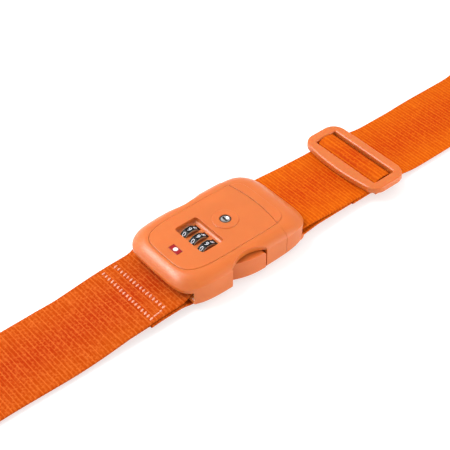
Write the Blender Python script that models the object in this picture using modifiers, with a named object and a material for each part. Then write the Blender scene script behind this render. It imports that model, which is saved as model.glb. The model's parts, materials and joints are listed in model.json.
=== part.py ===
"""Luggage strap: 50 mm webbing, a side-release buckle with a three-dial combination lock, and a tri-glide.

X runs along the strap, Y across it and Z up. The strap lies as a flattened loop on the plane z = 0, with the
origin under the middle of the buckle. The strap's return strand lies beneath everything else.
"""
import math

import bmesh
import bpy
from mathutils import Matrix, Vector

MM = 0.001
GAP = 0.3 * MM

# Webbing
WEB_WIDTH = 50.0 * MM
WEB_THICK = 1.6 * MM
LAYER_STEP = WEB_THICK + GAP
HALF_THICK = WEB_THICK / 2
RETURN_Z = HALF_THICK
FLAT_Z = RETURN_Z + LAYER_STEP
RETURN_SHIFT = 2.8 * MM
LEFT_SHIFT = 0.9 * MM
HALF_SPAN = 248.0 * MM
FOLD_START = 222.0 * MM

# Buckle, measured from the plane that its underside lies in
LIFT = LAYER_STEP
BUCKLE_END = 46.7 * MM
BUCKLE_HALF = 30.3 * MM
TOP = 20.0 * MM
SIDE_DROP = 4.6 * MM
END_DROP = 6.8 * MM
UNDER_INSET = 5.6 * MM
UNDER_RISE = 4.0 * MM
SHOULDER_STEPS = (0.0, 0.3, 0.58, 0.8, 0.93, 1.0)
SHOULDER_POWER = 2.2
OUTLINE_POINTS = 64
OUTLINE_POWER = 5.0

# Raised top panel, shared by both halves
PANEL_LEFT = -39.9 * MM
PANEL_RIGHT = 33.5 * MM
PANEL_HALF = 21.7 * MM
PANEL_TOP = 20.3 * MM
PANEL_POWER_LEFT = 4.5
PANEL_POWER_RIGHT = 7.0
MALE_TOP = 19.6 * MM
PLATE_THICK = 2.0 * MM

# Seam between the two halves, bowed across the panel
SEAM_X = 25.0 * MM
SEAM_BOW = 2.6 * MM

# Inside of the female half
CAVITY_LEFT = -31.0 * MM
CAVITY_HALF = 26.4 * MM
CAVITY_TOP = 15.4 * MM
SCREW_CORNERS = ((-27.5 * MM, 20.8 * MM), (17.0 * MM, 13.8 * MM))
SCREW_PLACES = [(x, side * y) for x, y in SCREW_CORNERS for side in (1, -1)]
WINDOW = (-15.3 * MM, 9.9 * MM)
WINDOW_INNER = 25.5 * MM
WINDOW_RADIUS = 23.0 * MM

# Strap bays and bars
BAY_HALF = 26.6 * MM
BAY_TOP = 11.6 * MM
BAR_RADIUS = 2.2 * MM
BAR_HALF = 27.2 * MM
BAR_Z = 4.9 * MM
FEMALE_BAR_X = -38.5 * MM
MALE_BAR_X = 39.0 * MM
FEMALE_BAY_WALL = -33.0 * MM
MALE_BAY_WALL = 30.5 * MM

# Dials and the pocket that they stand in
DIAL_X = -15.0 * MM
DIAL_Z = 12.6 * MM
DIAL_RADIUS = 7.0 * MM
DIAL_WIDTH = 4.4 * MM
DIAL_PITCH = 7.6 * MM
SLEEVE_BORE = 1.6 * MM
SLEEVE_RADIUS = 3.0 * MM
COLLAR_RADIUS = 3.35 * MM
COLLAR_FLAT = 2.0 * MM
SPINDLE_RADIUS = 1.3 * MM
POCKET = (-22.3 * MM, -6.3 * MM, 12.6 * MM)
POCKET_FLOOR = 17.0 * MM
POCKET_THICK = 0.75 * MM
SLOT_HALF_LENGTH = 6.4 * MM
SLOT_CLEARANCE = 0.2 * MM
RESET_X = -25.0 * MM

# Key cylinder
KEY_X = 4.9 * MM
PLUG_RADIUS = 3.2 * MM
BOSS_RADIUS = 7.8 * MM

# Badge
BADGE_X = -31.8 * MM
BADGE_Y = -0.8 * MM

# Release prongs
PRONG_ROOT_X = 27.5 * MM
PRONG_ROOT_Y = 18.0 * MM
HEAD_TIP_X = -14.5 * MM
HEAD_HEEL_X = 9.3 * MM
HEAD_LOW = 2.2 * MM
HEAD_HIGH = 14.6 * MM

# Blocker
BLOCKER_LOW = 8.9 * MM
BLOCKER_THICK = 1.4 * MM

# Tri-glide slider
GLIDE_X = 108.3 * MM
GLIDE_OPENING = (7.9 * MM, 25.7 * MM)
GLIDE_LEFT_BAR = 6.2 * MM
GLIDE_LEFT_BOW = 1.9 * MM
GLIDE_RIGHT_BAR = 6.8 * MM
GLIDE_HALF_WIDTH = 31.8 * MM
GLIDE_CORNER = 9.0 * MM
GLIDE_LOW = 7.8 * MM
GLIDE_HIGH = 12.4 * MM
CENTRE_BAR_HALF = 2.2 * MM
CENTRE_BAR_LOW = 5.0 * MM
CENTRE_BAR_HIGH = 8.2 * MM
CREST = (GLIDE_X, CENTRE_BAR_HIGH + 1.5 * WEB_THICK + 2 * GAP)
UNDER_BAR_Z = 6.5 * MM
UNDER_RIGHT_Z = 5.0 * MM

# Stored roll of webbing
ROLL_RADIUS = 23.0 * MM
ROLL_CORE = 5.5 * MM
ROLL_X = -HALF_SPAN + ROLL_RADIUS
TIE_THICK = 1.0 * MM
TIE_WIDTH = 8.0 * MM


# ---------------------------------------------------------------- scene and materials

def clear_scene():
    for obj in list(bpy.data.objects):
        bpy.data.objects.remove(obj, do_unlink=True)


def new_collection(name):
    collection = bpy.data.collections.new(name)
    bpy.context.scene.collection.children.link(collection)
    return collection


def new_material(name, colour, roughness, metallic=0.0):
    material = bpy.data.materials.new(name)
    material.use_nodes = True
    shader = material.node_tree.nodes["Principled BSDF"]
    shader.inputs["Base Color"].default_value = (*colour, 1.0)
    shader.inputs["Roughness"].default_value = roughness
    shader.inputs["Metallic"].default_value = metallic
    return material


clear_scene()
PARTS = new_collection("luggage_strap_lock")
CUTTERS = new_collection("cutters")

SHELL = new_material("shell_plastic", (0.87, 0.26, 0.07), 0.42)
BUTTON = new_material("button_plastic", (0.87, 0.24, 0.06), 0.45)
WEBBING = new_material("webbing", (0.88, 0.15, 0.01), 0.85)
BLACK = new_material("dial_black", (0.01, 0.01, 0.01), 0.35)
STEEL = new_material("steel", (0.55, 0.55, 0.56), 0.3, 1.0)
CHROME = new_material("chrome", (0.8, 0.8, 0.8), 0.12, 1.0)
ZINC = new_material("zinc", (0.5, 0.5, 0.5), 0.5, 1.0)
BRASS = new_material("brass", (0.7, 0.5, 0.2), 0.35, 1.0)
BADGE = new_material("badge_red", (0.35, 0.02, 0.02), 0.4)
TIE = new_material("tie_black", (0.02, 0.02, 0.02), 0.9)


# ---------------------------------------------------------------- shape helpers

def object_from_bmesh(name, bm, material, collection=None):
    """A new object from bm, with its faces pointing out."""
    bmesh.ops.recalc_face_normals(bm, faces=bm.faces)
    mesh = bpy.data.meshes.new(name)
    bm.to_mesh(mesh)
    bm.free()
    mesh.materials.append(material)
    obj = bpy.data.objects.new(name, mesh)
    (collection or PARTS).objects.link(obj)
    return obj


def box(name, low, high, material=SHELL, bevel=0.0, segments=2):
    """A box between two corners, with its edges rounded where bevel is given."""
    bm = bmesh.new()
    bmesh.ops.create_cube(bm, size=1.0)
    low = Vector(low)
    high = Vector(high)
    bmesh.ops.scale(bm, vec=high - low, verts=bm.verts)
    bmesh.ops.translate(bm, vec=(low + high) / 2, verts=bm.verts)
    obj = object_from_bmesh(name, bm, material)
    if bevel:
        round_edges(obj, bevel, segments)
    return obj


def cylinder(name, radius, start, end, material=SHELL, sides=32):
    """A cylinder from one point to another."""
    start = Vector(start)
    end = Vector(end)
    along = end - start
    bm = bmesh.new()
    turn = Vector((0, 0, 1)).rotation_difference(along).to_matrix().to_4x4()
    place = Matrix.Translation((start + end) / 2) @ turn
    bmesh.ops.create_cone(bm, cap_ends=True, segments=sides, radius1=radius, radius2=radius,
                          depth=along.length, matrix=place)
    return object_from_bmesh(name, bm, material)


def prism(name, outline, low, high, material=SHELL, plane="XY"):
    """A flat outline pushed from low to high along the plane's normal."""
    bm = bmesh.new()
    if plane == "XY":
        corners = [bm.verts.new((u, v, low)) for u, v in outline]
        push = Vector((0, 0, high - low))
    else:
        corners = [bm.verts.new((u, low, v)) for u, v in outline]
        push = Vector((0, high - low, 0))
    face = bm.faces.new(corners)
    grown = bmesh.ops.extrude_face_region(bm, geom=[face])
    moved = [item for item in grown["geom"] if isinstance(item, bmesh.types.BMVert)]
    bmesh.ops.translate(bm, vec=push, verts=moved)
    return object_from_bmesh(name, bm, material)


def loft(name, rings, material=SHELL):
    """A closed body through rings that all have the same number of points."""
    bm = bmesh.new()
    rows = [[bm.verts.new(point) for point in ring] for ring in rings]
    count = len(rows[0])
    for lower, upper in zip(rows, rows[1:]):
        for i in range(count):
            j = (i + 1) % count
            bm.faces.new((lower[i], lower[j], upper[j], upper[i]))
    bm.faces.new(rows[0])
    bm.faces.new(rows[-1])
    return object_from_bmesh(name, bm, material)


def ribbon(name, path, shift=0.0, width=WEB_WIDTH, thick=WEB_THICK, material=WEBBING):
    """A flat strap whose middle follows path, a list of (x, z), with its width along Y."""
    bm = bmesh.new()
    near = [bm.verts.new((x, shift - width / 2, z)) for x, z in path]
    far = [bm.verts.new((x, shift + width / 2, z)) for x, z in path]
    for i in range(len(path) - 1):
        bm.faces.new((near[i], near[i + 1], far[i + 1], far[i]))
    obj = object_from_bmesh(name, bm, material)
    shell = obj.modifiers.new("thickness", "SOLIDIFY")
    shell.thickness = thick
    shell.offset = 0.0
    shell.use_even_offset = True
    return obj


def spring(name, radius, wire, low, high, turns, centre, axis="Z", material=STEEL):
    """A compression spring: a helix of round wire about centre."""
    steps = 12 * turns
    data = bpy.data.curves.new(name, "CURVE")
    data.dimensions = "3D"
    data.bevel_depth = wire / 2
    data.bevel_resolution = 1
    data.use_fill_caps = True
    line = data.splines.new("POLY")
    line.points.add(steps)
    for i in range(steps + 1):
        angle = 2 * math.pi * turns * i / steps
        along = low + (high - low) * i / steps
        u = radius * math.cos(angle)
        v = radius * math.sin(angle)
        place = (centre[0] + u, centre[1] + v, along)
        if axis == "X":
            place = (along, centre[0] + u, centre[1] + v)
        line.points[i].co = (*place, 1.0)
    data.materials.append(material)
    obj = bpy.data.objects.new(name, data)
    PARTS.objects.link(obj)
    return obj


def use_as_cutter(obj):
    PARTS.objects.unlink(obj)
    CUTTERS.objects.link(obj)
    obj.hide_render = True
    obj.display_type = "WIRE"
    return obj


def boolean(obj, other, operation):
    modifier = obj.modifiers.new(operation.lower(), "BOOLEAN")
    modifier.operation = operation
    modifier.solver = "EXACT"
    modifier.object = use_as_cutter(other)
    return obj


def cut(obj, *cutters):
    for cutter in cutters:
        boolean(obj, cutter, "DIFFERENCE")
    return obj


def join(obj, *pieces):
    for piece in pieces:
        boolean(obj, piece, "UNION")
    return obj


def round_edges(obj, width, segments=2, angle=40.0):
    bevel = obj.modifiers.new("rounded", "BEVEL")
    bevel.width = width
    bevel.segments = segments
    bevel.limit_method = "ANGLE"
    bevel.angle_limit = math.radians(angle)
    return obj


def shade(obj, angle=35.0):
    obj.data.shade_smooth()
    obj.data.set_sharp_from_angle(angle=math.radians(angle))
    return obj


def raise_to(obj, height=LIFT):
    """Lift an object and everything that is cut from it or joined to it."""
    obj.location.z = height
    for modifier in obj.modifiers:
        if modifier.type == "BOOLEAN":
            raise_to(modifier.object, height)
    return obj


def put_origin(obj, point):
    """Move the object's origin to a point without moving its shape."""
    offset = Vector(point) - obj.location
    obj.data.transform(Matrix.Translation(-offset))
    obj.location = Vector(point)
    return obj


def bezier(start, lead_out, lead_in, end, steps):
    """Points of a cubic curve in the XZ plane, without its first point."""
    points = []
    for i in range(1, steps + 1):
        t = i / steps
        a = (1 - t) ** 3
        b = 3 * (1 - t) ** 2 * t
        c = 3 * (1 - t) * t ** 2
        d = t ** 3
        points.append(tuple(a * p + b * q + c * r + d * s
                            for p, q, r, s in zip(start, lead_out, lead_in, end)))
    return points


def arc(centre, radius, start, end, steps):
    """Points of an arc in the XZ plane, its angles in degrees from +X towards +Z."""
    points = []
    for i in range(steps + 1):
        angle = math.radians(start + (end - start) * i / steps)
        points.append((centre[0] + radius * math.cos(angle), centre[1] + radius * math.sin(angle)))
    return points


# ---------------------------------------------------------------- buckle outlines

def signed_power(value, power):
    return math.copysign(abs(value) ** power, value)


def end_weight(x):
    """0 along the buckle's sides, rising smoothly to 1 at its two ends."""
    t = (abs(x) / BUCKLE_END - 0.72) / 0.28
    t = min(max(t, 0.0), 1.0)
    return t * t * (3 - 2 * t)


def outer_outline(inset=0.0):
    """The buckle's rounded rectangle, seen from above."""
    points = []
    for i in range(OUTLINE_POINTS):
        angle = 2 * math.pi * i / OUTLINE_POINTS
        x = signed_power(math.cos(angle), 2 / OUTLINE_POWER)
        y = signed_power(math.sin(angle), 2 / OUTLINE_POWER)
        points.append(((BUCKLE_END - inset) * x, (BUCKLE_HALF - inset) * y))
    return points


def panel_outline(inset=0.0):
    """The raised panel's outline, with tighter corners at its right end."""
    middle = (PANEL_LEFT + PANEL_RIGHT) / 2
    half = (PANEL_RIGHT - PANEL_LEFT) / 2 - inset
    points = []
    for i in range(OUTLINE_POINTS):
        angle = 2 * math.pi * i / OUTLINE_POINTS
        power = PANEL_POWER_RIGHT if math.cos(angle) > 0 else PANEL_POWER_LEFT
        x = signed_power(math.cos(angle), 2 / power)
        y = signed_power(math.sin(angle), 2 / power)
        points.append((middle + half * x, (PANEL_HALF - inset) * y))
    return points


def envelope(name, top):
    """The closed buckle's outer body: rounded underside, upright walls and a domed shoulder."""
    outline = outer_outline()
    panel = panel_outline(-0.6 * MM)
    rings = []
    for degrees in (0, 45, 90):
        angle = math.radians(degrees)
        inset = UNDER_INSET * (1 - math.sin(angle))
        height = UNDER_RISE * (1 - math.cos(angle))
        rings.append([(x, y, height) for x, y in outer_outline(inset)])
    for t in reversed(SHOULDER_STEPS):
        fall = t ** SHOULDER_POWER
        ring = []
        for (x, y), (px, py) in zip(outline, panel):
            drop = SIDE_DROP + (END_DROP - SIDE_DROP) * end_weight(x)
            ring.append((px + (x - px) * t, py + (y - py) * t, top - drop * fall))
        rings.append(ring)
    return loft(name, rings)


def seam_side(name, right, clearance):
    """Everything on one side of the bowed seam, as a tall prism."""
    reach = 80.0 * MM
    half = 40.0 * MM
    points = []
    steps = 24
    for i in range(steps + 1):
        y = -half + 2 * half * i / steps
        bow = SEAM_BOW * max(0.0, 1 - (y / PANEL_HALF) ** 2)
        points.append((SEAM_X + bow + clearance, y))
    edge = reach if right else -reach
    points += [(edge, half), (edge, -half)]
    return prism(name, points, -5 * MM, 30 * MM)


# ---------------------------------------------------------------- female half

def window_cutter(side):
    """The side window: as long as the release button, with an arc-shaped inner edge."""
    middle = (WINDOW[0] + WINDOW[1]) / 2
    half = (WINDOW[1] - WINDOW[0]) / 2
    centre_y = WINDOW_INNER + WINDOW_RADIUS
    points = []
    steps = 14
    for i in range(steps + 1):
        x = -half + 2 * half * i / steps
        y = centre_y - math.sqrt(WINDOW_RADIUS ** 2 - x ** 2)
        points.append((middle + x, side * y))
    points += [(middle + half, side * 40 * MM), (middle - half, side * 40 * MM)]
    return prism("window", points, -2 * MM, 24 * MM)


def make_female_body():
    body = envelope("female_body", TOP)
    cut(body, seam_side("female_seam", True, 0.0))
    cut(body,
        box("cavity", (CAVITY_LEFT, -CAVITY_HALF, -2 * MM), (40 * MM, CAVITY_HALF, CAVITY_TOP)),
        box("bay", (-60 * MM, -BAY_HALF, -2 * MM), (FEMALE_BAY_WALL, BAY_HALF, BAY_TOP)),
        prism("plate_recess", panel_outline(), PANEL_TOP - PLATE_THICK - GAP, 26 * MM),
        box("plate_opening", (-30 * MM, -17.5 * MM, 12 * MM), (13 * MM, 17.5 * MM, 22 * MM)),
        box("button_bay", (WINDOW[0], -40 * MM, -2 * MM), (WINDOW[1], 40 * MM, HEAD_HIGH + 0.4 * MM)),
        window_cutter(1),
        window_cutter(-1))
    for x, y in SCREW_PLACES:
        join(body, cylinder("post", 2.4 * MM, (x, y, 2.1 * MM), (x, y, CAVITY_TOP + 0.6 * MM), sides=20))
    for x, y in SCREW_PLACES:
        cut(body, cylinder("post_hole", 1.2 * MM, (x, y, 1 * MM), (x, y, 11 * MM), sides=16))
    join(body, cylinder("bar", BAR_RADIUS, (FEMALE_BAR_X, -BAR_HALF, BAR_Z),
                        (FEMALE_BAR_X, BAR_HALF, BAR_Z), sides=24))
    raise_to(body)
    return shade(body)


def make_face_plate():
    low = PANEL_TOP - PLATE_THICK
    plate = prism("face_plate", panel_outline(GAP), low, PANEL_TOP)
    round_edges(plate, 0.35 * MM, 2, 60)
    cut(plate, seam_side("plate_seam", True, -0.15 * MM))
    boss_height = 0.5 * MM
    boss = cylinder("boss", BOSS_RADIUS, (KEY_X, 0, low + boss_height), (KEY_X, 0, PANEL_TOP + boss_height),
                    sides=48)
    round_edges(boss, 0.45 * MM, 2)
    join(plate, boss)
    wall = POCKET_THICK + 0.25 * MM
    join(plate, box("tub", (POCKET[0] - wall, -POCKET[2] - wall, POCKET_FLOOR - POCKET_THICK),
                    (POCKET[1] + wall, POCKET[2] + wall, low + 0.4 * MM)))
    for y in (11.0 * MM, -14.4 * MM):
        join(plate, box("lug", (DIAL_X - 2.2 * MM, y - MM, DIAL_Z - 2.6 * MM),
                        (DIAL_X + 2.2 * MM, y + MM, low + 0.4 * MM)))
    pocket = box("pocket", (POCKET[0], -POCKET[2], POCKET_FLOOR), (POCKET[1], POCKET[2], 26 * MM))
    round_edges(pocket, 2.0 * MM, 4)
    cut(plate, pocket)
    for y in dial_places():
        half = DIAL_WIDTH / 2 + SLOT_CLEARANCE
        cut(plate, box("slot", (DIAL_X - SLOT_HALF_LENGTH, y - half, 14 * MM),
                       (DIAL_X + SLOT_HALF_LENGTH, y + half, 26 * MM)))
    cut(plate, cylinder("key_hole", PLUG_RADIUS + GAP, (KEY_X, 0, 12 * MM), (KEY_X, 0, 26 * MM), sides=40),
        cylinder("spindle_hole", SPINDLE_RADIUS + GAP, (DIAL_X, -20 * MM, DIAL_Z), (DIAL_X, 20 * MM, DIAL_Z),
                 sides=20),
        box("badge_pocket", (BADGE_X - 2.1 * MM, BADGE_Y - 4.0 * MM, PANEL_TOP - 0.5 * MM),
            (BADGE_X + 2.1 * MM, BADGE_Y + 4.0 * MM, 26 * MM)))
    raise_to(plate)
    return shade(plate)


def make_badge():
    """A plain inlaid tablet beside the dials."""
    badge = box("badge", (BADGE_X - 1.8 * MM, BADGE_Y - 3.7 * MM, PANEL_TOP - 0.2 * MM),
                (BADGE_X + 1.8 * MM, BADGE_Y + 3.7 * MM, PANEL_TOP + 0.25 * MM), BADGE)
    raise_to(badge)
    return badge


def make_bottom_cover():
    middle = (WINDOW[0] + WINDOW[1]) / 2
    half = (WINDOW[1] - WINDOW[0]) / 2 + 0.6 * MM
    cover = box("bottom_cover", (CAVITY_LEFT + GAP, -26.0 * MM, 0), (SEAM_X - 0.5 * MM, 26.0 * MM, 1.8 * MM))
    for side in (1, -1):
        edges = sorted((side * 24.2 * MM, side * 30 * MM))
        cut(cover, box("cover_notch", (middle - half, edges[0], -MM), (middle + half, edges[1], 3 * MM)))
    for x, y in SCREW_PLACES:
        cut(cover, cylinder("cover_hole", 1.2 * MM, (x, y, -MM), (x, y, 3 * MM), sides=16))
        cut(cover, cylinder("head_recess", 2.3 * MM, (x, y, -MM), (x, y, 1.2 * MM), sides=20))
    cut(cover, cylinder("reset_hole", 2.3 * MM, (RESET_X, 0, -MM), (RESET_X, 0, 3 * MM), sides=24))
    raise_to(cover)
    return shade(cover)


def make_case_screws():
    for index, (x, y) in enumerate(SCREW_PLACES, start=1):
        screw = cylinder("case_screw_%d" % index, 2.0 * MM, (x, y, 0.2 * MM), (x, y, 0.95 * MM), STEEL, 20)
        shank = cylinder("shank", 0.9 * MM, (x, y, 0.6 * MM), (x, y, 9.5 * MM), STEEL, 12)
        join(screw, shank)
        drive = box("drive", (x - 1.2 * MM, y - 0.25 * MM, -MM), (x + 1.2 * MM, y + 0.25 * MM, 0.5 * MM))
        cross = box("cross", (x - 0.25 * MM, y - 1.2 * MM, -MM), (x + 0.25 * MM, y + 1.2 * MM, 0.5 * MM))
        cut(screw, drive, cross)
        raise_to(screw)
        shade(screw)


# ---------------------------------------------------------------- lock mechanism

def dial_places():
    return [DIAL_PITCH, 0.0, -DIAL_PITCH]


def make_dials():
    for index, y in enumerate(dial_places(), start=1):
        half = DIAL_WIDTH / 2
        dial = cylinder("dial_%d" % index, DIAL_RADIUS, (DIAL_X, y - half, DIAL_Z),
                        (DIAL_X, y + half, DIAL_Z), BLACK, 40)
        round_edges(dial, 0.3 * MM, 1)
        cut(dial, cylinder("dial_bore", SLEEVE_RADIUS + GAP, (DIAL_X, y - 4 * MM, DIAL_Z),
                           (DIAL_X, y + 4 * MM, DIAL_Z), sides=24))
        raise_to(dial)
        shade(dial)
        put_origin(dial, (DIAL_X, y, DIAL_Z + LIFT))
        make_code_sleeve(index, y)


def make_code_sleeve(index, y):
    """The sleeve inside a dial, with its code collar in the space beside the dial."""
    start = y - 5.1 * MM
    end = y + DIAL_WIDTH / 2
    sleeve = cylinder("code_sleeve_%d" % index, SLEEVE_RADIUS, (DIAL_X, start, DIAL_Z), (DIAL_X, end, DIAL_Z),
                      BRASS, 24)
    collar = cylinder("collar", COLLAR_RADIUS, (DIAL_X, y - 4.9 * MM, DIAL_Z),
                      (DIAL_X, y - DIAL_WIDTH / 2 - GAP, DIAL_Z), BRASS, 30)
    join(sleeve, collar)
    cut(sleeve,
        cylinder("sleeve_bore", SLEEVE_BORE, (DIAL_X, y - 9 * MM, DIAL_Z), (DIAL_X, y + 9 * MM, DIAL_Z),
                 sides=20),
        box("collar_flat", (DIAL_X - 8 * MM, y - 5.0 * MM, DIAL_Z - 8 * MM),
            (DIAL_X + 8 * MM, y - DIAL_WIDTH / 2 - 0.1 * MM, DIAL_Z - COLLAR_FLAT)))
    raise_to(sleeve)
    shade(sleeve)
    put_origin(sleeve, (DIAL_X, y, DIAL_Z + LIFT))


def make_spindle():
    spindle = cylinder("dial_spindle", SPINDLE_RADIUS, (DIAL_X, -16 * MM, DIAL_Z),
                       (DIAL_X, 12.6 * MM, DIAL_Z), STEEL, 20)
    raise_to(spindle)
    return shade(spindle)


def make_click_spring():
    """A leaf spring with one finger for each collar."""
    low = 11.6 * MM
    high = 12.0 * MM
    leaf = box("click_spring", (-29.0 * MM, -13 * MM, low), (-25.6 * MM, 6 * MM, high), STEEL)
    for y in dial_places():
        middle = y - 3.6 * MM
        join(leaf, box("finger", (-26 * MM, middle - 1.2 * MM, low), (DIAL_X - COLLAR_RADIUS - 0.35 * MM,
                                                                     middle + 1.2 * MM, high), STEEL))
    raise_to(leaf)
    return leaf


def make_blocker():
    """The plate whose tooth drops into the male tongue, and the comb that feels the code collars."""
    high = BLOCKER_LOW + BLOCKER_THICK
    plate = box("blocker_plate", (-6.9 * MM, -13.5 * MM, BLOCKER_LOW), (1.5 * MM, 15.2 * MM, high), ZINC)
    tooth = box("tooth", (-3.2 * MM, -3.6 * MM, 6.35 * MM), (0.4 * MM, 3.6 * MM, BLOCKER_LOW + 0.4 * MM),
                ZINC)
    join(plate, tooth)
    raise_to(plate)
    comb = box("code_comb", (-7.8 * MM, -13.2 * MM, high - 0.6 * MM), (-7.2 * MM, 6 * MM, high), STEEL)
    for y in dial_places():
        middle = y - 3.6 * MM
        join(comb, box("comb_finger", (-16.2 * MM, middle - 1.0 * MM, high - 0.6 * MM),
                       (-7.4 * MM, middle + 1.0 * MM, high), STEEL))
    raise_to(comb)
    coil = spring("blocker_spring", 1.5 * MM, 0.4 * MM, 2.4 * MM, BLOCKER_LOW - 0.5 * MM, 5,
                  (-4.5 * MM, 13.2 * MM))
    raise_to(coil)


def make_key_cylinder():
    housing = cylinder("key_housing", 5.0 * MM, (KEY_X, 0, 13.2 * MM), (KEY_X, 0, 18.0 * MM), ZINC, 36)
    cut(housing, cylinder("housing_bore", PLUG_RADIUS + GAP, (KEY_X, 0, 10 * MM), (KEY_X, 0, 22 * MM),
                          sides=36))
    raise_to(housing)
    shade(housing)
    plug = cylinder("key_plug", PLUG_RADIUS, (KEY_X, 0, 13.0 * MM), (KEY_X, 0, 20.9 * MM), CHROME, 36)
    round_edges(plug, 0.3 * MM, 2)
    tail = box("tail", (KEY_X - 1.2 * MM, -1.2 * MM, 10.75 * MM), (KEY_X + 1.2 * MM, 1.2 * MM, 13.4 * MM))
    join(plug, tail)
    cut(plug, box("keyway", (KEY_X - 0.45 * MM, -2.1 * MM, 15 * MM), (KEY_X + 0.45 * MM, 2.1 * MM, 24 * MM)))
    raise_to(plug)
    shade(plug)
    put_origin(plug, (KEY_X, 0, LIFT))
    return plug


def make_key_cam():
    """The cam on the plug's square tail."""
    cam = cylinder("key_cam", 3.0 * MM, (KEY_X, 0, 11.7 * MM), (KEY_X, 0, 12.7 * MM), STEEL, 28)
    arm = box("arm", (KEY_X - 5.2 * MM, -1.3 * MM, 11.7 * MM), (KEY_X, 1.3 * MM, 12.7 * MM), STEEL)
    join(cam, arm)
    cut(cam, box("square", (KEY_X - 1.5 * MM, -1.5 * MM, 10 * MM), (KEY_X + 1.5 * MM, 1.5 * MM, 14 * MM)))
    raise_to(cam)
    shade(cam)
    put_origin(cam, (KEY_X, 0, LIFT))


def make_reset_button():
    """The code-change button in the underside, and its return spring."""
    button = cylinder("reset_button", 2.0 * MM, (RESET_X, 0, 0.6 * MM), (RESET_X, 0, 4.0 * MM), BLACK, 24)
    collar = cylinder("reset_collar", 2.8 * MM, (RESET_X, 0, 2.15 * MM), (RESET_X, 0, 3.0 * MM), BLACK, 24)
    join(button, collar)
    raise_to(button)
    shade(button)
    put_origin(button, (RESET_X, 0, LIFT))
    coil = spring("reset_spring", 1.3 * MM, 0.4 * MM, 4.5 * MM, 10.9 * MM, 5, (RESET_X, 0))
    raise_to(coil)


# ---------------------------------------------------------------- male half

def make_male_body():
    body = envelope("male_body", MALE_TOP)
    cut(body, seam_side("male_seam", False, GAP))
    pad = prism("pad", panel_outline(GAP), 17.0 * MM, PANEL_TOP)
    round_edges(pad, 0.5 * MM, 2, 60)
    pad = cut(pad, seam_side("pad_seam", False, GAP))
    join(body, pad)
    cut(body,
        box("male_bay", (MALE_BAY_WALL, -BAY_HALF, -2 * MM), (60 * MM, BAY_HALF, BAY_TOP)),
        box("coring", (MALE_BAY_WALL + 1.5 * MM, -20 * MM, 8 * MM), (40 * MM, 20 * MM, 15.5 * MM)))
    for side in (1, -1):
        low, high = sorted((side * (PRONG_ROOT_Y - 2.6 * MM), side * (PRONG_ROOT_Y + 2.6 * MM)))
        cut(body, box("root_socket", (20 * MM, low, 3.2 * MM), (PRONG_ROOT_X + 2.2 * MM, high, 12.9 * MM)))
    tongue = box("tongue", (-6.0 * MM, -10.5 * MM, 2.6 * MM), (29 * MM, 10.5 * MM, 6.0 * MM), bevel=0.6 * MM)
    rib = box("rib", (12.0 * MM, -7.5 * MM, 5.5 * MM), (29 * MM, 7.5 * MM, 9.4 * MM), bevel=0.6 * MM)
    join(body, tongue, rib)
    cut(body, box("tongue_hole", (-3.9 * MM, -4.4 * MM, 0), (1.1 * MM, 4.4 * MM, 10 * MM)))
    join(body, cylinder("male_bar", BAR_RADIUS, (MALE_BAR_X, -BAR_HALF, BAR_Z),
                        (MALE_BAR_X, BAR_HALF, BAR_Z), sides=24))
    raise_to(body)
    return shade(body)


def prong_head_outline(side):
    """The release button from above: flush with the wall at its heel, tucked in at its tip."""
    length = HEAD_HEEL_X - HEAD_TIP_X
    outer = []
    steps = 10
    for i in range(steps + 1):
        x = HEAD_HEEL_X - length * i / steps
        tuck = 6.0 * MM * ((HEAD_HEEL_X - x) / length) ** 2.4
        outer.append((x, side * (BUCKLE_HALF - tuck)))
    inner = [(HEAD_TIP_X + 0.6 * MM, side * 22.6 * MM), (HEAD_HEEL_X, side * 23.0 * MM)]
    return outer + inner


def make_prong(name, side):
    """A springy arm rooted in the male half, with the release button at its free end."""
    prong = prism(name, prong_head_outline(side), HEAD_LOW, HEAD_HIGH, BUTTON)
    round_edges(prong, 1.1 * MM, 3, 50)
    arm = [(PRONG_ROOT_X, side * (PRONG_ROOT_Y - 1.1 * MM)), (PRONG_ROOT_X, side * (PRONG_ROOT_Y + 1.1 * MM)),
           (18 * MM, side * 22.9 * MM), (HEAD_HEEL_X - 2 * MM, side * 25.6 * MM),
           (HEAD_HEEL_X - 4 * MM, side * 23.4 * MM), (18 * MM, side * 20.7 * MM)]
    join(prong, prism("arm", arm, 3.8 * MM, 12.3 * MM, BUTTON))
    root = (PRONG_ROOT_X, side * PRONG_ROOT_Y)
    join(prong, cylinder("root", 1.9 * MM, (*root, 3.7 * MM), (*root, 12.4 * MM), BUTTON, 20))
    raise_to(prong)
    shade(prong)
    return put_origin(prong, (*root, LIFT))


# ---------------------------------------------------------------- tri-glide

def rounded_rectangle(left, right, half_y, radius, bow=0.0, steps=6):
    """A rounded rectangle between left and right, its left side bowed outwards in the middle."""
    points = []
    corners = ((right, 1, 0), (left, 1, 90), (left, -1, 180), (right, -1, 270))
    for edge, side, start in corners:
        centre_x = edge - radius if edge == right else edge + radius
        for i in range(steps + 1):
            angle = math.radians(start + 90 * i / steps)
            points.append((centre_x + radius * math.cos(angle),
                           side * (half_y - radius) + radius * math.sin(angle)))
        if bow and (edge, side) == (left, 1):
            straight = half_y - radius
            for i in range(1, steps):
                y = straight - 2 * straight * i / steps
                points.append((left - bow * (1 - (y / straight) ** 2), y))
    return points


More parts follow.
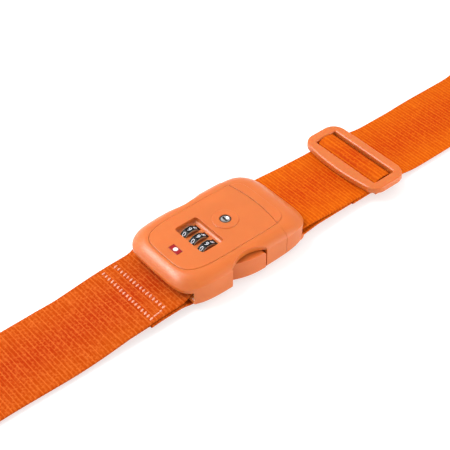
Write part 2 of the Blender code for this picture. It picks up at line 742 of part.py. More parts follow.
def make_tri_glide():
    """A frame with a wide bowed bar, a straight bar and a lower centre bar that the webbing goes round."""
    half_length, half_width = GLIDE_OPENING
    left = GLIDE_X - half_length - GLIDE_LEFT_BAR
    right = GLIDE_X + half_length + GLIDE_RIGHT_BAR
    outline = rounded_rectangle(left, right, GLIDE_HALF_WIDTH, GLIDE_CORNER, GLIDE_LEFT_BOW)
    frame = prism("tri_glide", outline, GLIDE_LOW, GLIDE_HIGH)
    round_edges(frame, 1.5 * MM, 3, 50)
    opening = rounded_rectangle(GLIDE_X - half_length, GLIDE_X + half_length, half_width, 1.2 * MM, steps=3)
    cut(frame, prism("opening", opening, 0, 20 * MM))
    end = half_width + 1.0 * MM
    for side in (1, -1):
        low, high = sorted((side * (end - 0.8 * MM), side * (end + 1.6 * MM)))
        join(frame, box("drop", (GLIDE_X - CENTRE_BAR_HALF, low, CENTRE_BAR_LOW),
                        (GLIDE_X + CENTRE_BAR_HALF, high, GLIDE_LOW + MM)))
    join(frame, box("centre_bar", (GLIDE_X - CENTRE_BAR_HALF + 0.01 * MM, -end, CENTRE_BAR_LOW + 0.01 * MM),
                    (GLIDE_X + CENTRE_BAR_HALF - 0.01 * MM, end, CENTRE_BAR_HIGH), bevel=0.6 * MM))
    shade(frame)
    return put_origin(frame, (GLIDE_X, 0, 0))


# ---------------------------------------------------------------- webbing

def bar_wrap(bar_x, start, end):
    """The middle of the webbing where it turns round a strap bar."""
    return arc((bar_x, BAR_Z + LIFT), BAR_RADIUS + GAP + HALF_THICK, start, end, 10)


def make_left_webbing():
    """The sewn end under the left strand, the turn round the female bar and the strand to the roll."""
    wrap = bar_wrap(FEMALE_BAR_X, -90, 90)
    pair = 6.2 * MM
    lower_start = (-68 * MM, pair - 1.5 * MM)
    path = [lower_start, (-60 * MM, pair - 1.05 * MM), (-53 * MM, pair - 0.95 * MM)]
    path += bezier(path[-1], (-48 * MM, path[-1][1]), (-44 * MM, wrap[0][1]), wrap[0], 4)
    path += wrap[1:]
    upper = pair + 0.95 * MM
    path += bezier(wrap[-1], (-44 * MM, wrap[-1][1]), (-48 * MM, upper), (-53 * MM, upper), 4)
    path += [(-60 * MM, pair + 0.85 * MM), (-68 * MM, pair + 0.4 * MM)]
    path += bezier(path[-1], (-84 * MM, pair - 0.8 * MM), (-96 * MM, FLAT_Z), (-125 * MM, FLAT_Z), 6)
    path.append((ROLL_X + 13.0 * MM, FLAT_Z))
    ribbon("webbing_left", path, LEFT_SHIFT)


def make_roll():
    """The outer shape of the stored length, wound up with both strands together, and its tie."""
    middle = (RETURN_SHIFT + LEFT_SHIFT) / 2
    half = WEB_WIDTH / 2 + (RETURN_SHIFT - LEFT_SHIFT) / 2
    roll = cylinder("webbing_roll", ROLL_RADIUS, (ROLL_X, middle - half, ROLL_RADIUS),
                    (ROLL_X, middle + half, ROLL_RADIUS), WEBBING, 48)
    cut(roll, cylinder("core", ROLL_CORE, (ROLL_X, -40 * MM, ROLL_RADIUS), (ROLL_X, 40 * MM, ROLL_RADIUS),
                       sides=24))
    shade(roll)
    low = ROLL_RADIUS + 1.0 * MM
    high = 2 * ROLL_RADIUS + GAP
    tie = box("roll_tie", (ROLL_X - TIE_WIDTH / 2, middle - half - GAP - TIE_THICK, low),
              (ROLL_X + TIE_WIDTH / 2, middle + half + GAP + TIE_THICK, high + TIE_THICK), TIE)
    cut(tie, box("tie_inside", (ROLL_X - 9 * MM, middle - half - GAP, low + TIE_THICK),
                 (ROLL_X + 9 * MM, middle + half + GAP, high)))


def make_return_webbing():
    ribbon("webbing_return", [(ROLL_X + 9.3 * MM, RETURN_Z), (FOLD_START - GAP, RETURN_Z)], RETURN_SHIFT)


def make_fold():
    """The soft fold at the right end, where the return strand turns up into the right strand."""
    tip = HALF_SPAN - HALF_THICK
    low = (236 * MM, RETURN_Z)
    path = [(FOLD_START, RETURN_Z), low]
    path += bezier(low, (243 * MM, RETURN_Z), (tip, 1.6 * MM), (tip, 4.2 * MM), 5)
    path += bezier(path[-1], (tip, 6.8 * MM), (243 * MM, 7.2 * MM), (238 * MM, 6.2 * MM), 5)
    path += bezier(path[-1], (232 * MM, 5.0 * MM), (228 * MM, FLAT_Z), (FOLD_START - 4 * MM, FLAT_Z), 5)
    ribbon("webbing_fold", path, RETURN_SHIFT / 2)


def make_right_webbing():
    """The right strand: flat on the return strand, over the slider's centre bar, then to the male bar."""
    ribbon("webbing_right", [(FOLD_START - 4.3 * MM, FLAT_Z), (150 * MM, FLAT_Z)], 0.0)
    foot = (GLIDE_X + 9.3 * MM, UNDER_RIGHT_Z)
    path = [(149.7 * MM, FLAT_Z), (141 * MM, FLAT_Z)]
    path += bezier(path[-1], (133 * MM, FLAT_Z), (127 * MM, foot[1]), (GLIDE_X + 12 * MM, foot[1]), 6)
    path.append(foot)
    path += bezier(foot, (GLIDE_X + 6.2 * MM, foot[1]), (GLIDE_X + 6.7 * MM, CREST[1]), CREST, 10)
    path += left_climb()[::-1][1:]
    path.append((88.3 * MM, UNDER_BAR_Z + 0.1 * MM))
    ribbon("webbing_bulge", path, 0.0)


def left_climb():
    """The webbing's rise from under the left outer bar to the crest over the centre bar."""
    start = (GLIDE_X - 8.6 * MM, UNDER_BAR_Z)
    lead = GLIDE_X - 5.6 * MM
    return [start] + bezier(start, (lead, UNDER_BAR_Z), (GLIDE_X - 6.4 * MM, CREST[1]), CREST, 8)


def offset_path(path, distance):
    """The path moved sideways, to the left of its own direction."""
    moved = []
    for i, (x, z) in enumerate(path):
        before = path[max(i - 1, 0)]
        after = path[min(i + 1, len(path) - 1)]
        along = Vector((after[0] - before[0], after[1] - before[1])).normalized()
        moved.append((x - along.y * distance, z + along.x * distance))
    return moved


def make_male_webbing():
    """From the slider to the male bar, round it, and back beneath."""
    wrap = bar_wrap(MALE_BAR_X, 90, 270)
    path = [(88 * MM, 6.7 * MM), (74 * MM, 7.5 * MM)]
    path += bezier(path[-1], (64 * MM, 8.0 * MM), (50 * MM, wrap[0][1]), wrap[0], 6)
    path += wrap[1:]
    path += bezier(path[-1], (46 * MM, path[-1][1]), (50 * MM, FLAT_Z), (60 * MM, FLAT_Z), 5)
    path.append((91.7 * MM, FLAT_Z))
    ribbon("webbing_male", path, 0.0)


def make_end_loop():
    """The strap's other end: round the slider's centre bar and sewn down on the lower layer."""
    low = CENTRE_BAR_LOW - GAP - HALF_THICK
    side = (GLIDE_X + CENTRE_BAR_HALF + GAP + HALF_THICK, (CENTRE_BAR_LOW + CENTRE_BAR_HIGH) / 2)
    top = (GLIDE_X, CENTRE_BAR_HIGH + GAP + HALF_THICK)
    path = [(92 * MM, FLAT_Z), (99 * MM, FLAT_Z)]
    path += bezier(path[-1], (103 * MM, FLAT_Z), (GLIDE_X - 5 * MM, low), (GLIDE_X, low), 4)
    path += bezier(path[-1], (GLIDE_X + 2.6 * MM, low), (side[0], low + 0.4 * MM), side, 4)
    path += bezier(side, (side[0], top[1] - 0.4 * MM), (GLIDE_X + 2.6 * MM, top[1]), top, 4)
    path += offset_path(left_climb()[::-1], LAYER_STEP)[1:]
    path.append((84 * MM, FLAT_Z + LAYER_STEP))
    ribbon("webbing_end_loop", path, 0.0)


make_female_body()
make_face_plate()
make_badge()
make_bottom_cover()
make_case_screws()
make_dials()
make_spindle()
make_click_spring()
make_blocker()
make_key_cylinder()
make_key_cam()
make_reset_button()
make_male_body()
make_prong("prong_front", -1)
make_prong("prong_back", 1)
make_tri_glide()
make_left_webbing()
make_roll()
make_return_webbing()
make_fold()
make_right_webbing()
make_male_webbing()
make_end_loop()
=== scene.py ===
"""Looks for the luggage strap: smooth moulded shells, woven webbing, printed dials and a chrome key barrel.

Sizes are millimetres times MM, and mm() turns several at once. X runs along the strap and Z is up.
"""
import json
import math
import random
from functools import partial

import bmesh
import bpy
from mathutils import Matrix, Vector


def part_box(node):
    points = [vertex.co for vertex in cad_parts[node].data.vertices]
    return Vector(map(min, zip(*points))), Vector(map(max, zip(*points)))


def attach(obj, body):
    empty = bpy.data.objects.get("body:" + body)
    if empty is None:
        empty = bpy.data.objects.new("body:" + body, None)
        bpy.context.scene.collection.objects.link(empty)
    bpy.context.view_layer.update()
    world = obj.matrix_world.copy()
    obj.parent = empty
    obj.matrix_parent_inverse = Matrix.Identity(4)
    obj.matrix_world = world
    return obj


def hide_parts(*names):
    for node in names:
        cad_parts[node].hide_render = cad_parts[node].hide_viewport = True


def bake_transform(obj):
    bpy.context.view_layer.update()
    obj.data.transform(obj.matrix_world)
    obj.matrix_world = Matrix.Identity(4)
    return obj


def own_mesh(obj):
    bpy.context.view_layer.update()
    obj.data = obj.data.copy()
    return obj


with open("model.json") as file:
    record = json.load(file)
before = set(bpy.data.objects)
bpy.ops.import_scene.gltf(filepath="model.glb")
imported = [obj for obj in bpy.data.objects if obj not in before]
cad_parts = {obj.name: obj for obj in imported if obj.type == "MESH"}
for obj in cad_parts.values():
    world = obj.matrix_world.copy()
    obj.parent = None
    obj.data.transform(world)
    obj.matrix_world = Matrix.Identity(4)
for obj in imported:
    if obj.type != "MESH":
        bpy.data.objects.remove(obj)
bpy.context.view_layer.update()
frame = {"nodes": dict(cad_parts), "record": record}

MM = 0.001


def mm(*sizes):
    return tuple(size * MM for size in sizes)


GAP = 0.3 * MM
CUT_LOW = -2 * MM
CUT_HIGH = 26 * MM
SHARP_ANGLE = math.radians(32.0)

# Webbing
WEB_WIDTH = 50 * MM
WEB_THICK = 1.6 * MM
LAYER_STEP = WEB_THICK + GAP
HALF_THICK = WEB_THICK / 2
RETURN_Z = HALF_THICK
FLAT_Z = RETURN_Z + LAYER_STEP
LEFT_SHIFT = 0.9 * MM
HALF_SPAN = 248 * MM
RIB_PITCH = 2.3 * MM
RIB_DEPTH = 0.09 * MM
RIB_STEPS = 6
YARN_PITCH = 1 * MM

# Buckle, measured from the plane that its underside lies in
LIFT = LAYER_STEP
BUCKLE_END = 46.7 * MM
BUCKLE_HALF = 30.3 * MM
TOP = 20 * MM
SIDE_DROP = 4.6 * MM
END_DROP = 6.8 * MM
UNDER_INSET = 5.6 * MM
UNDER_RISE = 4 * MM
SHOULDER_POWER = 2.2
SHOULDER_RINGS = 14
OUTLINE_POINTS = 160
OUTLINE_POWER = 5.0

PANEL_LEFT = -39.9 * MM
PANEL_RIGHT = 33.5 * MM
PANEL_HALF = 21.7 * MM
PANEL_TOP = 20.3 * MM
PANEL_POWER_LEFT = 4.5
PANEL_POWER_RIGHT = 7.0
MALE_TOP = 19.6 * MM
PLATE_THICK = 2 * MM

SEAM_X = 25 * MM
SEAM_BOW = 2.6 * MM

CAVITY_LEFT = -31 * MM
CAVITY_HALF = 26.4 * MM
CAVITY_TOP = 15.4 * MM
WINDOW = mm(-15.3, 9.9)
WINDOW_INNER = 25.5 * MM
WINDOW_RADIUS = 23 * MM

BAY_HALF = 26.6 * MM
BAY_TOP = 11.6 * MM
BAR_RADIUS = 2.2 * MM
BAR_HALF = 27.2 * MM
BAR_Z = 4.9 * MM
FEMALE_BAR_X = -38.5 * MM
MALE_BAR_X = 39 * MM
FEMALE_BAY_WALL = -33 * MM
MALE_BAY_WALL = 30.5 * MM

DIAL_X = -15 * MM
DIAL_Z = 12.6 * MM
DIAL_RADIUS = 7 * MM
DIAL_WIDTH = 4.4 * MM
DIAL_PITCH = 7.6 * MM
DIGITS = 10
DIGIT_TURN = 36
DIGIT_SIZE = 4.3 * MM
FIRST_DIGIT_LEAN = 36.5
POCKET = mm(-22.3, -6.3, 12.6)
POCKET_FLOOR = 17 * MM
POCKET_THICK = 0.75 * MM
SLOT_HALF_LENGTH = 6.4 * MM

KEY_X = 4.9 * MM
PLUG_RADIUS = 3.2 * MM
KEYWAY_HALF = 0.65 * MM
BOSS_RADIUS = 7.8 * MM
BADGE_X = -31.8 * MM
BADGE_Y = -0.8 * MM

RESET_X = -25 * MM
COIL_TURNS = 5
BLOCKER_SPRING = mm(2.4, 8.4)
RESET_SPRING = mm(4.5, 10.9)

PRONG_ROOT_X = 27.5 * MM
PRONG_ROOT_Y = 18 * MM
HEAD_TIP_X = -14.5 * MM
HEAD_HEEL_X = 9.3 * MM
HEAD_LOW = 2.2 * MM
HEAD_HIGH = 14.6 * MM

GLIDE_X = 108.3 * MM
GLIDE_OPENING = mm(7.9, 25.7)
GLIDE_LEFT_BAR = 6.2 * MM
GLIDE_LEFT_BOW = 1.9 * MM
GLIDE_RIGHT_BAR = 6.8 * MM
GLIDE_HALF_WIDTH = 31.8 * MM
GLIDE_CORNER = 9 * MM
GLIDE_LOW = 7.8 * MM
GLIDE_HIGH = 12.4 * MM
CENTRE_BAR_HALF = 2.2 * MM
CENTRE_BAR_LOW = 5 * MM
CENTRE_BAR_HIGH = 8.2 * MM
CREST = (GLIDE_X, CENTRE_BAR_HIGH + 1.5 * WEB_THICK + 2 * GAP + 0.8 * MM)
UNDER_BAR_Z = 6.5 * MM
UNDER_RIGHT_Z = 5 * MM

ROLL_RADIUS = 23 * MM
ROLL_X = -HALF_SPAN + ROLL_RADIUS
FOLD_START = 222 * MM

# How the strands lie: places along x with the middle's y, the half width or the height there
TAIL_SHIFT = 1.4 * MM
UNDERLAP = 2.2 * MM
RETURN_HALF = [mm(-110, 25), mm(-60, 24.2), mm(140, 24), mm(180, 25)]
RETURN_COURSE = [mm(-205, 2.4), mm(-105, 2.7), mm(-55, 3.9), mm(60, 4.2), mm(120, 3.8), mm(175, 1.6),
                 mm(222, 1.4)]
PAIR_Z = 6.2 * MM
SEWN_TOP = [(-68 * MM, PAIR_Z + 0.4 * MM), (-60 * MM, PAIR_Z + 0.85 * MM), (-53 * MM, PAIR_Z + 0.95 * MM)]
ROLL_TURNS = 4.0
ROLL_STEPS = 60

STITCH_ROWS = ((-56.5 * MM, -0.037, -19.6 * MM, 23.5 * MM), (-65.6 * MM, 0.01, -22 * MM, 22.4 * MM))
STITCH_PITCH = 2.75 * MM


# ---- camera, light and floor

def link_new(name, data):
    obj = bpy.data.objects.new(name, data)
    bpy.context.scene.collection.objects.link(obj)
    return obj


def aim(obj, direction):
    obj.rotation_mode = "QUATERNION"
    obj.rotation_quaternion = direction.to_track_quat("-Z", "Y")


def add_camera():
    """A long lens from the front left, above the strap."""
    azimuth = math.radians(-40.39)
    elevation = math.radians(43.41)
    distance = 0.7
    target = Vector((15.58 * MM, 12.82 * MM, LIFT))
    back = Vector((math.sin(azimuth) * math.cos(elevation), -math.cos(azimuth) * math.cos(elevation),
                   math.sin(elevation)))
    camera = link_new("camera", bpy.data.cameras.new("camera"))
    camera.data.lens = 95.24
    camera.data.sensor_width = 36.0
    camera.data.clip_start = 0.01
    camera.data.clip_end = 20.0
    camera.location = target + back * distance
    aim(camera, -back)
    bpy.context.scene.camera = camera


def add_area_light(name, place, size, power):
    """A round lamp aimed at the middle of the floor."""
    light = bpy.data.lights.new(name, "AREA")
    light.shape = "DISK"
    light.size = size
    light.energy = power
    obj = link_new(name, light)
    obj.location = place
    aim(obj, -Vector(place))
    return obj


def add_stage():
    """A plain near-white floor, a white surround and soft light from above."""
    bpy.context.scene.view_settings.view_transform = "Standard"
    world = bpy.data.worlds.new("surround")
    bpy.context.scene.world = world
    world.use_nodes = True
    background = world.node_tree.nodes["Background"]
    set_inputs(background, Color=(1.0, 1.0, 1.0, 1.0), Strength=1.0)
    bm = bmesh.new()
    bmesh.ops.create_grid(bm, x_segments=1, y_segments=1, size=6.0)
    mesh = bpy.data.meshes.new("floor")
    bm.to_mesh(mesh)
    bm.free()
    floor = link_new("floor", mesh)
    floor.location.z = -0.0002
    material, _, _ = principled("floor", (0.5, 0.5, 0.5), 0.9, Emission_Color=(1.0, 1.0, 1.0, 1.0),
                                Emission_Strength=0.55)
    mesh.materials.append(material)
    add_area_light("overhead", (-0.45, 0.6, 1.0), 1.0, 21.0)
    add_area_light("front", (0.6, -0.8, 0.12), 0.5, 8.0)
    card = add_area_light("card", (-0.85, 0.5, 0.55), 0.7, 22.0)
    card.visible_diffuse = False


# ---- material helpers

def node(tree, kind, **settings):
    made = tree.nodes.new(kind)
    for name, value in settings.items():
        setattr(made, name, value)
    return made


def set_inputs(made, **values):
    """Constants on a node's sockets. An underscore stands for a space in a socket's name."""
    for name, value in values.items():
        made.inputs[name.replace("_", " ")].default_value = value


def principled(name, colour, roughness, metallic=0.0, **sockets):
    material = bpy.data.materials.new(name)
    material.use_nodes = True
    shader = material.node_tree.nodes["Principled BSDF"]
    set_inputs(shader, Base_Color=(*colour, 1.0), Roughness=roughness, Metallic=metallic, **sockets)
    return material, material.node_tree, shader


def noise(tree, scale, detail=2.0, vector=None):
    made = node(tree, "ShaderNodeTexNoise")
    set_inputs(made, Scale=scale, Detail=detail)
    if vector is None:
        vector = node(tree, "ShaderNodeTexCoord").outputs["Object"]
    feed(tree, vector, made, "Vector")
    return made.outputs["Fac"]


def remap(tree, value, low, high, out_low, out_high):
    made = node(tree, "ShaderNodeMapRange")
    feed(tree, value, made, "Value")
    set_inputs(made, From_Min=low, From_Max=high, To_Min=out_low, To_Max=out_high)
    return made.outputs["Result"]


def math_node(tree, operation, first, second=None):
    made = node(tree, "ShaderNodeMath", operation=operation)
    for socket, value in zip(made.inputs, (first, second)):
        if isinstance(value, (int, float)):
            socket.default_value = value
        elif value is not None:
            tree.links.new(value, socket)
    return made.outputs[0]


def mix_colour(tree, factor, first, second):
    made = node(tree, "ShaderNodeMix", data_type="RGBA")
    for name, value in (("Factor", factor), ("A", first), ("B", second)):
        socket = made.inputs[name]
        if isinstance(value, tuple):
            socket.default_value = (*value, 1.0)
        elif isinstance(value, (int, float)):
            socket.default_value = value
        else:
            tree.links.new(value, socket)
    return made.outputs["Result"]


def feed(tree, value, target, socket):
    """Lead a value into a socket of another node."""
    tree.links.new(value, target.inputs[socket])


def bump(tree, shader, height, strength, distance):
    made = node(tree, "ShaderNodeBump")
    set_inputs(made, Strength=strength, Distance=distance)
    feed(tree, height, made, "Height")
    feed(tree, made.outputs["Normal"], shader, "Normal")
    return made


def moulded_plastic(name, colour, roughness, soft_edge=0.0):
    """Satin moulding: a slight mottle in colour and gloss, a fine spark texture and softened edges."""
    material, tree, shader = principled(name, colour, roughness, Specular_IOR_Level=0.35,
                                        Subsurface_Weight=0.35, Subsurface_Scale=0.004,
                                        Subsurface_Radius=(1.0, 0.25, 0.08))
    mottle = noise(tree, 60.0, 4.0)
    darker = tuple(c * 0.93 for c in colour)
    tone = mix_colour(tree, remap(tree, mottle, 0.35, 0.65, 0.0, 1.0), darker, colour)
    feed(tree, tone, shader, "Base Color")
    fine = noise(tree, 1800.0, 3.0)
    wear = noise(tree, 220.0, 5.0)
    gloss = math_node(tree, "ADD", remap(tree, fine, 0.3, 0.7, roughness - 0.03, roughness + 0.05),
                      remap(tree, wear, 0.35, 0.7, -0.03, 0.04))
    feed(tree, gloss, shader, "Roughness")
    made = bump(tree, shader, fine, 0.22, 0.00004)
    if soft_edge:
        rounded = node(tree, "ShaderNodeBevel", samples=4)
        rounded.inputs["Radius"].default_value = soft_edge
        feed(tree, rounded.outputs["Normal"], made, "Normal")
    return material


def webbing_material(name, colour, shade, light, contrast):
    """Woven tape, with a painted highlight on its rib crests and painted shade in its rib valleys and between
    its yarns. Its strap map gives the distance along the tape and across it, in metres.
    """
    material, tree, shader = principled(name, colour, 0.75, Specular_IOR_Level=0.03)
    calc, ramp, mix = (partial(make, tree) for make in (math_node, remap, mix_colour))
    place = node(tree, "ShaderNodeUVMap", uv_map="strap")
    split = node(tree, "ShaderNodeSeparateXYZ")
    feed(tree, place.outputs["UV"], split, "Vector")
    along, across = split.outputs["X"], split.outputs["Y"]
    rib = calc("MULTIPLY", along, 1 / RIB_PITCH)
    ridge = calc("ABSOLUTE", calc("SINE", calc("MULTIPLY", rib, math.pi)))
    row = calc("FLOOR", calc("MULTIPLY", rib, 2.0))
    stagger = calc("MULTIPLY", calc("MODULO", row, 2.0), 0.5)
    yarn = calc("ADD", calc("MULTIPLY", across, 1 / YARN_PITCH), stagger)
    knuckle = calc("ABSOLUTE", calc("SINE", calc("MULTIPLY", yarn, math.pi)))
    cell = node(tree, "ShaderNodeCombineXYZ")
    feed(tree, row, cell, "X")
    feed(tree, calc("FLOOR", yarn), cell, "Y")
    chance = node(tree, "ShaderNodeTexWhiteNoise", noise_dimensions="2D")
    feed(tree, cell.outputs["Vector"], chance, "Vector")
    stretched = node(tree, "ShaderNodeCombineXYZ")
    feed(tree, along, stretched, "X")
    feed(tree, calc("MULTIPLY", across, 0.12), stretched, "Y")
    streak = noise(tree, 700.0, 2.0, stretched.outputs["Vector"])
    patch = noise(tree, 40.0, 3.0, place.outputs["UV"])
    middle = ramp(calc("ABSOLUTE", across), 0.003, 0.021, 1.0, 0.0)
    tone = mix(calc("MULTIPLY", middle, 0.85), colour, shade)
    tone = mix(ramp(patch, 0.35, 0.7, 0.0, 0.3), tone, shade)
    tone = mix(ramp(streak, 0.5, 0.8, 0.0, 0.5 * contrast), tone, light)
    tone = mix(ramp(chance.outputs["Value"], 0.5, 1.0, 0.0, 0.3), tone, light)
    # Painted highlight: the rib crests are lightened towards the light colour, every other rib more strongly.
    turn = calc("MODULO", calc("FLOOR", rib), 2.0)
    crest = calc("MULTIPLY", ramp(ridge, 0.9, 1.0, 0.0, contrast),
                      ramp(turn, 0.0, 1.0, 0.95, 0.5))
    tone = mix(crest, tone, light)
    # Painted shade: the rib valleys and the gaps between yarns are darkened towards a deeper copy of the
    # shade colour.
    painted_groove_shade = calc("MAXIMUM", ramp(ridge, 0.0, 0.6, 0.36 * contrast, 0.0),
                       ramp(knuckle, 0.0, 0.5, 0.3, 0.0))
    feed(tree, mix(painted_groove_shade, tone, tuple(c * 0.6 for c in shade)), shader, "Base Color")
    height = calc("ADD", calc("MULTIPLY", knuckle, 0.5),
                       calc("MULTIPLY", streak, 0.4))
    bump(tree, shader, height, 0.6, 0.0002)
    return material


def thread_material():
    material, tree, shader = principled("stitch_thread", (0.6, 0.22, 0.13), 0.6, Sheen_Weight=0.1)
    ply = noise(tree, 2600.0, 2.0)
    shades = (0.5, 0.13, 0.06), (0.7, 0.32, 0.22)
    feed(tree, mix_colour(tree, remap(tree, ply, 0.35, 0.65, 0.0, 1.0), *shades), shader, "Base Color")
    bump(tree, shader, ply, 0.5, 0.0001)
    return material


def metal(name, colour, roughness, strength=0.08):
    """Metal with a faint grain, and gloss that varies with handling."""
    material, tree, shader = principled(name, colour, roughness, 1.0)
    fine = noise(tree, 900.0, 3.0)
    smear = noise(tree, 180.0, 4.0)
    gloss = remap(tree, smear, 0.3, 0.7, roughness * 0.8, roughness * 1.35)
    feed(tree, gloss, shader, "Roughness")
    darker = tuple(c * 0.88 for c in colour)
    feed(tree, mix_colour(tree, fine, darker, colour), shader, "Base Color")
    bump(tree, shader, fine, strength, 0.00003)
    return material


def plain_plastic(name, colour, roughness, level=0.5):
    """Dark or printed plastic with a little dust and variation."""
    material, tree, shader = principled(name, colour, roughness, Specular_IOR_Level=level)
    dust = noise(tree, 700.0, 4.0)
    lighter = tuple(min(1.0, c * 1.25 + 0.004) for c in colour)
    tone = mix_colour(tree, remap(tree, dust, 0.55, 0.8, 0.0, 0.5), colour, lighter)
    feed(tree, tone, shader, "Base Color")
    feed(tree, remap(tree, dust, 0.3, 0.7, roughness - 0.05, roughness + 0.1), shader, "Roughness")
    bump(tree, shader, dust, 0.1, 0.00003)
    return material


SHELL = moulded_plastic("shell_plastic", (0.485, 0.111, 0.016), 0.38, 0.0003)
BUTTON = moulded_plastic("button_plastic", (0.49, 0.108, 0.017), 0.4, 0.0003)
WEBBING = webbing_material("webbing", (0.37, 0.052, 0.0004), (0.32, 0.022, 0.0002), (0.62, 0.15, 0.025), 0.5)
WEBBING_FINE = webbing_material("webbing_fine", (0.46, 0.073, 0.0005), (0.38, 0.03, 0.0003),
                                (0.62, 0.14, 0.006), 0.7)
THREAD = thread_material()
BLACK = plain_plastic("dial_black", (0.004, 0.004, 0.0045), 0.4, 0.08)
PRINT = plain_plastic("dial_print", (0.7, 0.72, 0.78), 0.5, 0.2)
# Pale rings along the dial wheels' edges: a painted highlight where the edges catch the light.
PAINTED_RIM_HIGHLIGHT = plain_plastic("dial_rim", (0.3, 0.22, 0.14), 0.4, 0.2)
# Brownish-orange rings on the black wheels' sides: a painted reflection of the orange plastic around them.
PAINTED_SIDE_REFLECTION = plain_plastic("dial_side", (0.2, 0.06, 0.02), 0.4)
STEEL = metal("steel", (0.6, 0.6, 0.61), 0.3)
CHROME = metal("chrome", (0.55, 0.54, 0.54), 0.12, strength=0.02)
# Dark brownish metal on the chrome plug's rim: a painted dark reflection.
PAINTED_PLUG_EDGE_REFLECTION = metal("plug_ring", (0.1, 0.06, 0.045), 0.3)
ZINC = metal("zinc", (0.5, 0.5, 0.5), 0.5, strength=0.3)
BRASS = metal("brass", (0.75, 0.52, 0.22), 0.3)
BADGE = plain_plastic("badge_red", (0.24, 0.005, 0.008), 0.4, 0.15)
BADGE_DOT = plain_plastic("badge_dot", (0.6, 0.55, 0.53), 0.4)
TIE = plain_plastic("tie_black", (0.008, 0.008, 0.009), 0.85, 0.1)
# Near-black plastic inside the keyway: painted shade for the dark deep in the slot.
PAINTED_KEYWAY_SHADE = plain_plastic("keyway_dark", (0.01, 0.01, 0.01), 0.6)


# ---- mesh helpers

def add_object(name, mesh, material):
    mesh.materials.clear()
    mesh.materials.append(material)
    return link_new(name, mesh)


def from_bmesh(name, bm, material):
    bmesh.ops.recalc_face_normals(bm, faces=bm.faces)
    mesh = bpy.data.meshes.new(name)
    bm.to_mesh(mesh)
    bm.free()
    return add_object(name, mesh, material)


def box(low, high, bevel=0.0, segments=3, material=SHELL):
    bm = bmesh.new()
    bmesh.ops.create_cube(bm, size=1.0)
    low = Vector(low)
    high = Vector(high)
    bmesh.ops.scale(bm, vec=high - low, verts=bm.verts)
    bmesh.ops.translate(bm, vec=(low + high) / 2, verts=bm.verts)
    obj = from_bmesh("box", bm, material)
    if bevel:
        round_edges(obj, bevel, segments)
    return obj


def cylinder(radius, start, end, sides=64, material=SHELL):
    start = Vector(start)
    end = Vector(end)
    along = end - start
    turn = Vector((0, 0, 1)).rotation_difference(along).to_matrix().to_4x4()
    place = Matrix.Translation((start + end) / 2) @ turn
    bm = bmesh.new()
    bmesh.ops.create_cone(bm, cap_ends=True, segments=sides, radius1=radius, radius2=radius,
                          depth=along.length, matrix=place)
    return from_bmesh("cylinder", bm, material)


def prism(outline, low, high, material=SHELL):
    bm = bmesh.new()
    face = bm.faces.new([bm.verts.new((u, v, low)) for u, v in outline])
    grown = bmesh.ops.extrude_face_region(bm, geom=[face])
    moved = [item for item in grown["geom"] if isinstance(item, bmesh.types.BMVert)]
    bmesh.ops.translate(bm, vec=Vector((0, 0, high - low)), verts=moved)
    return from_bmesh("prism", bm, material)


def skin(bm, rows):
    """Quads between each closed row of vertices and the next."""
    for lower, upper in zip(rows, rows[1:]):
        for i in range(len(lower)):
            j = (i + 1) % len(lower)
            bm.faces.new((lower[i], lower[j], upper[j], upper[i]))


def loft(rings, name):
    bm = bmesh.new()
    rows = [[bm.verts.new(point) for point in ring] for ring in rings]
    skin(bm, rows)
    bm.faces.new(rows[0])
    bm.faces.new(rows[-1])
    return from_bmesh(name, bm, SHELL)


def round_edges(obj, width, segments=3, angle=40.0):
    bevel = obj.modifiers.new("rounded", "BEVEL")
    bevel.width = width
    bevel.segments = segments
    bevel.limit_method = "ANGLE"
    bevel.angle_limit = math.radians(angle)


def combine(obj, others, operation):
    for other in others:
        modifier = obj.modifiers.new(operation.lower(), "BOOLEAN")
        modifier.operation = operation
        modifier.solver = "EXACT"
        modifier.object = other


def cut(obj, *cutters):
    combine(obj, cutters, "DIFFERENCE")


def join(obj, *pieces):
    combine(obj, pieces, "UNION")


def settle(obj):
    """Turn the modifiers into plain mesh and remove the helpers that they used."""
    helpers = {m.object for m in obj.modifiers if m.type == "BOOLEAN"}
    for helper in helpers:
        settle(helper)
    graph = bpy.context.evaluated_depsgraph_get()
    mesh = bpy.data.meshes.new_from_object(obj.evaluated_get(graph))
    material = obj.data.materials[0]
    obj.modifiers.clear()
    obj.data = mesh
    mesh.materials.clear()
    mesh.materials.append(material)
    for polygon in mesh.polygons:
        polygon.material_index = 0
    for helper in helpers:
        bpy.data.objects.remove(helper, do_unlink=True)


def fit_to_node(obj, body, slot, *nodes):
    """obj rides on a body and stands for CAD nodes."""
    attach(obj, body)
    if nodes:
        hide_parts(*nodes)


def finish_piece(obj, name, body, slot, *nodes, lift=LIFT):
    """Final mesh of a hard piece: lifted, smooth where it is round, crisp at its edges, and on its body."""
    settle(obj)
    obj.name = name
    obj.data.name = name
    obj.data.transform(Matrix.Translation((0, 0, lift)))
    obj.data.shade_smooth()
    obj.data.set_sharp_from_angle(angle=SHARP_ANGLE)
    weighted = obj.modifiers.new("weighted", "WEIGHTED_NORMAL")
    weighted.keep_sharp = True
    fit_to_node(obj, body, slot, *nodes)


def curve_mesh(curve):
    holder = link_new(curve.name, curve)
    graph = bpy.context.evaluated_depsgraph_get()
    mesh = bpy.data.meshes.new_from_object(holder.evaluated_get(graph))
    bpy.data.objects.remove(holder, do_unlink=True)
    return mesh


def side_span(side, inner, outer):
    """The y range between two distances from the middle, on one side of it."""
    return sorted((side * inner, side * outer))


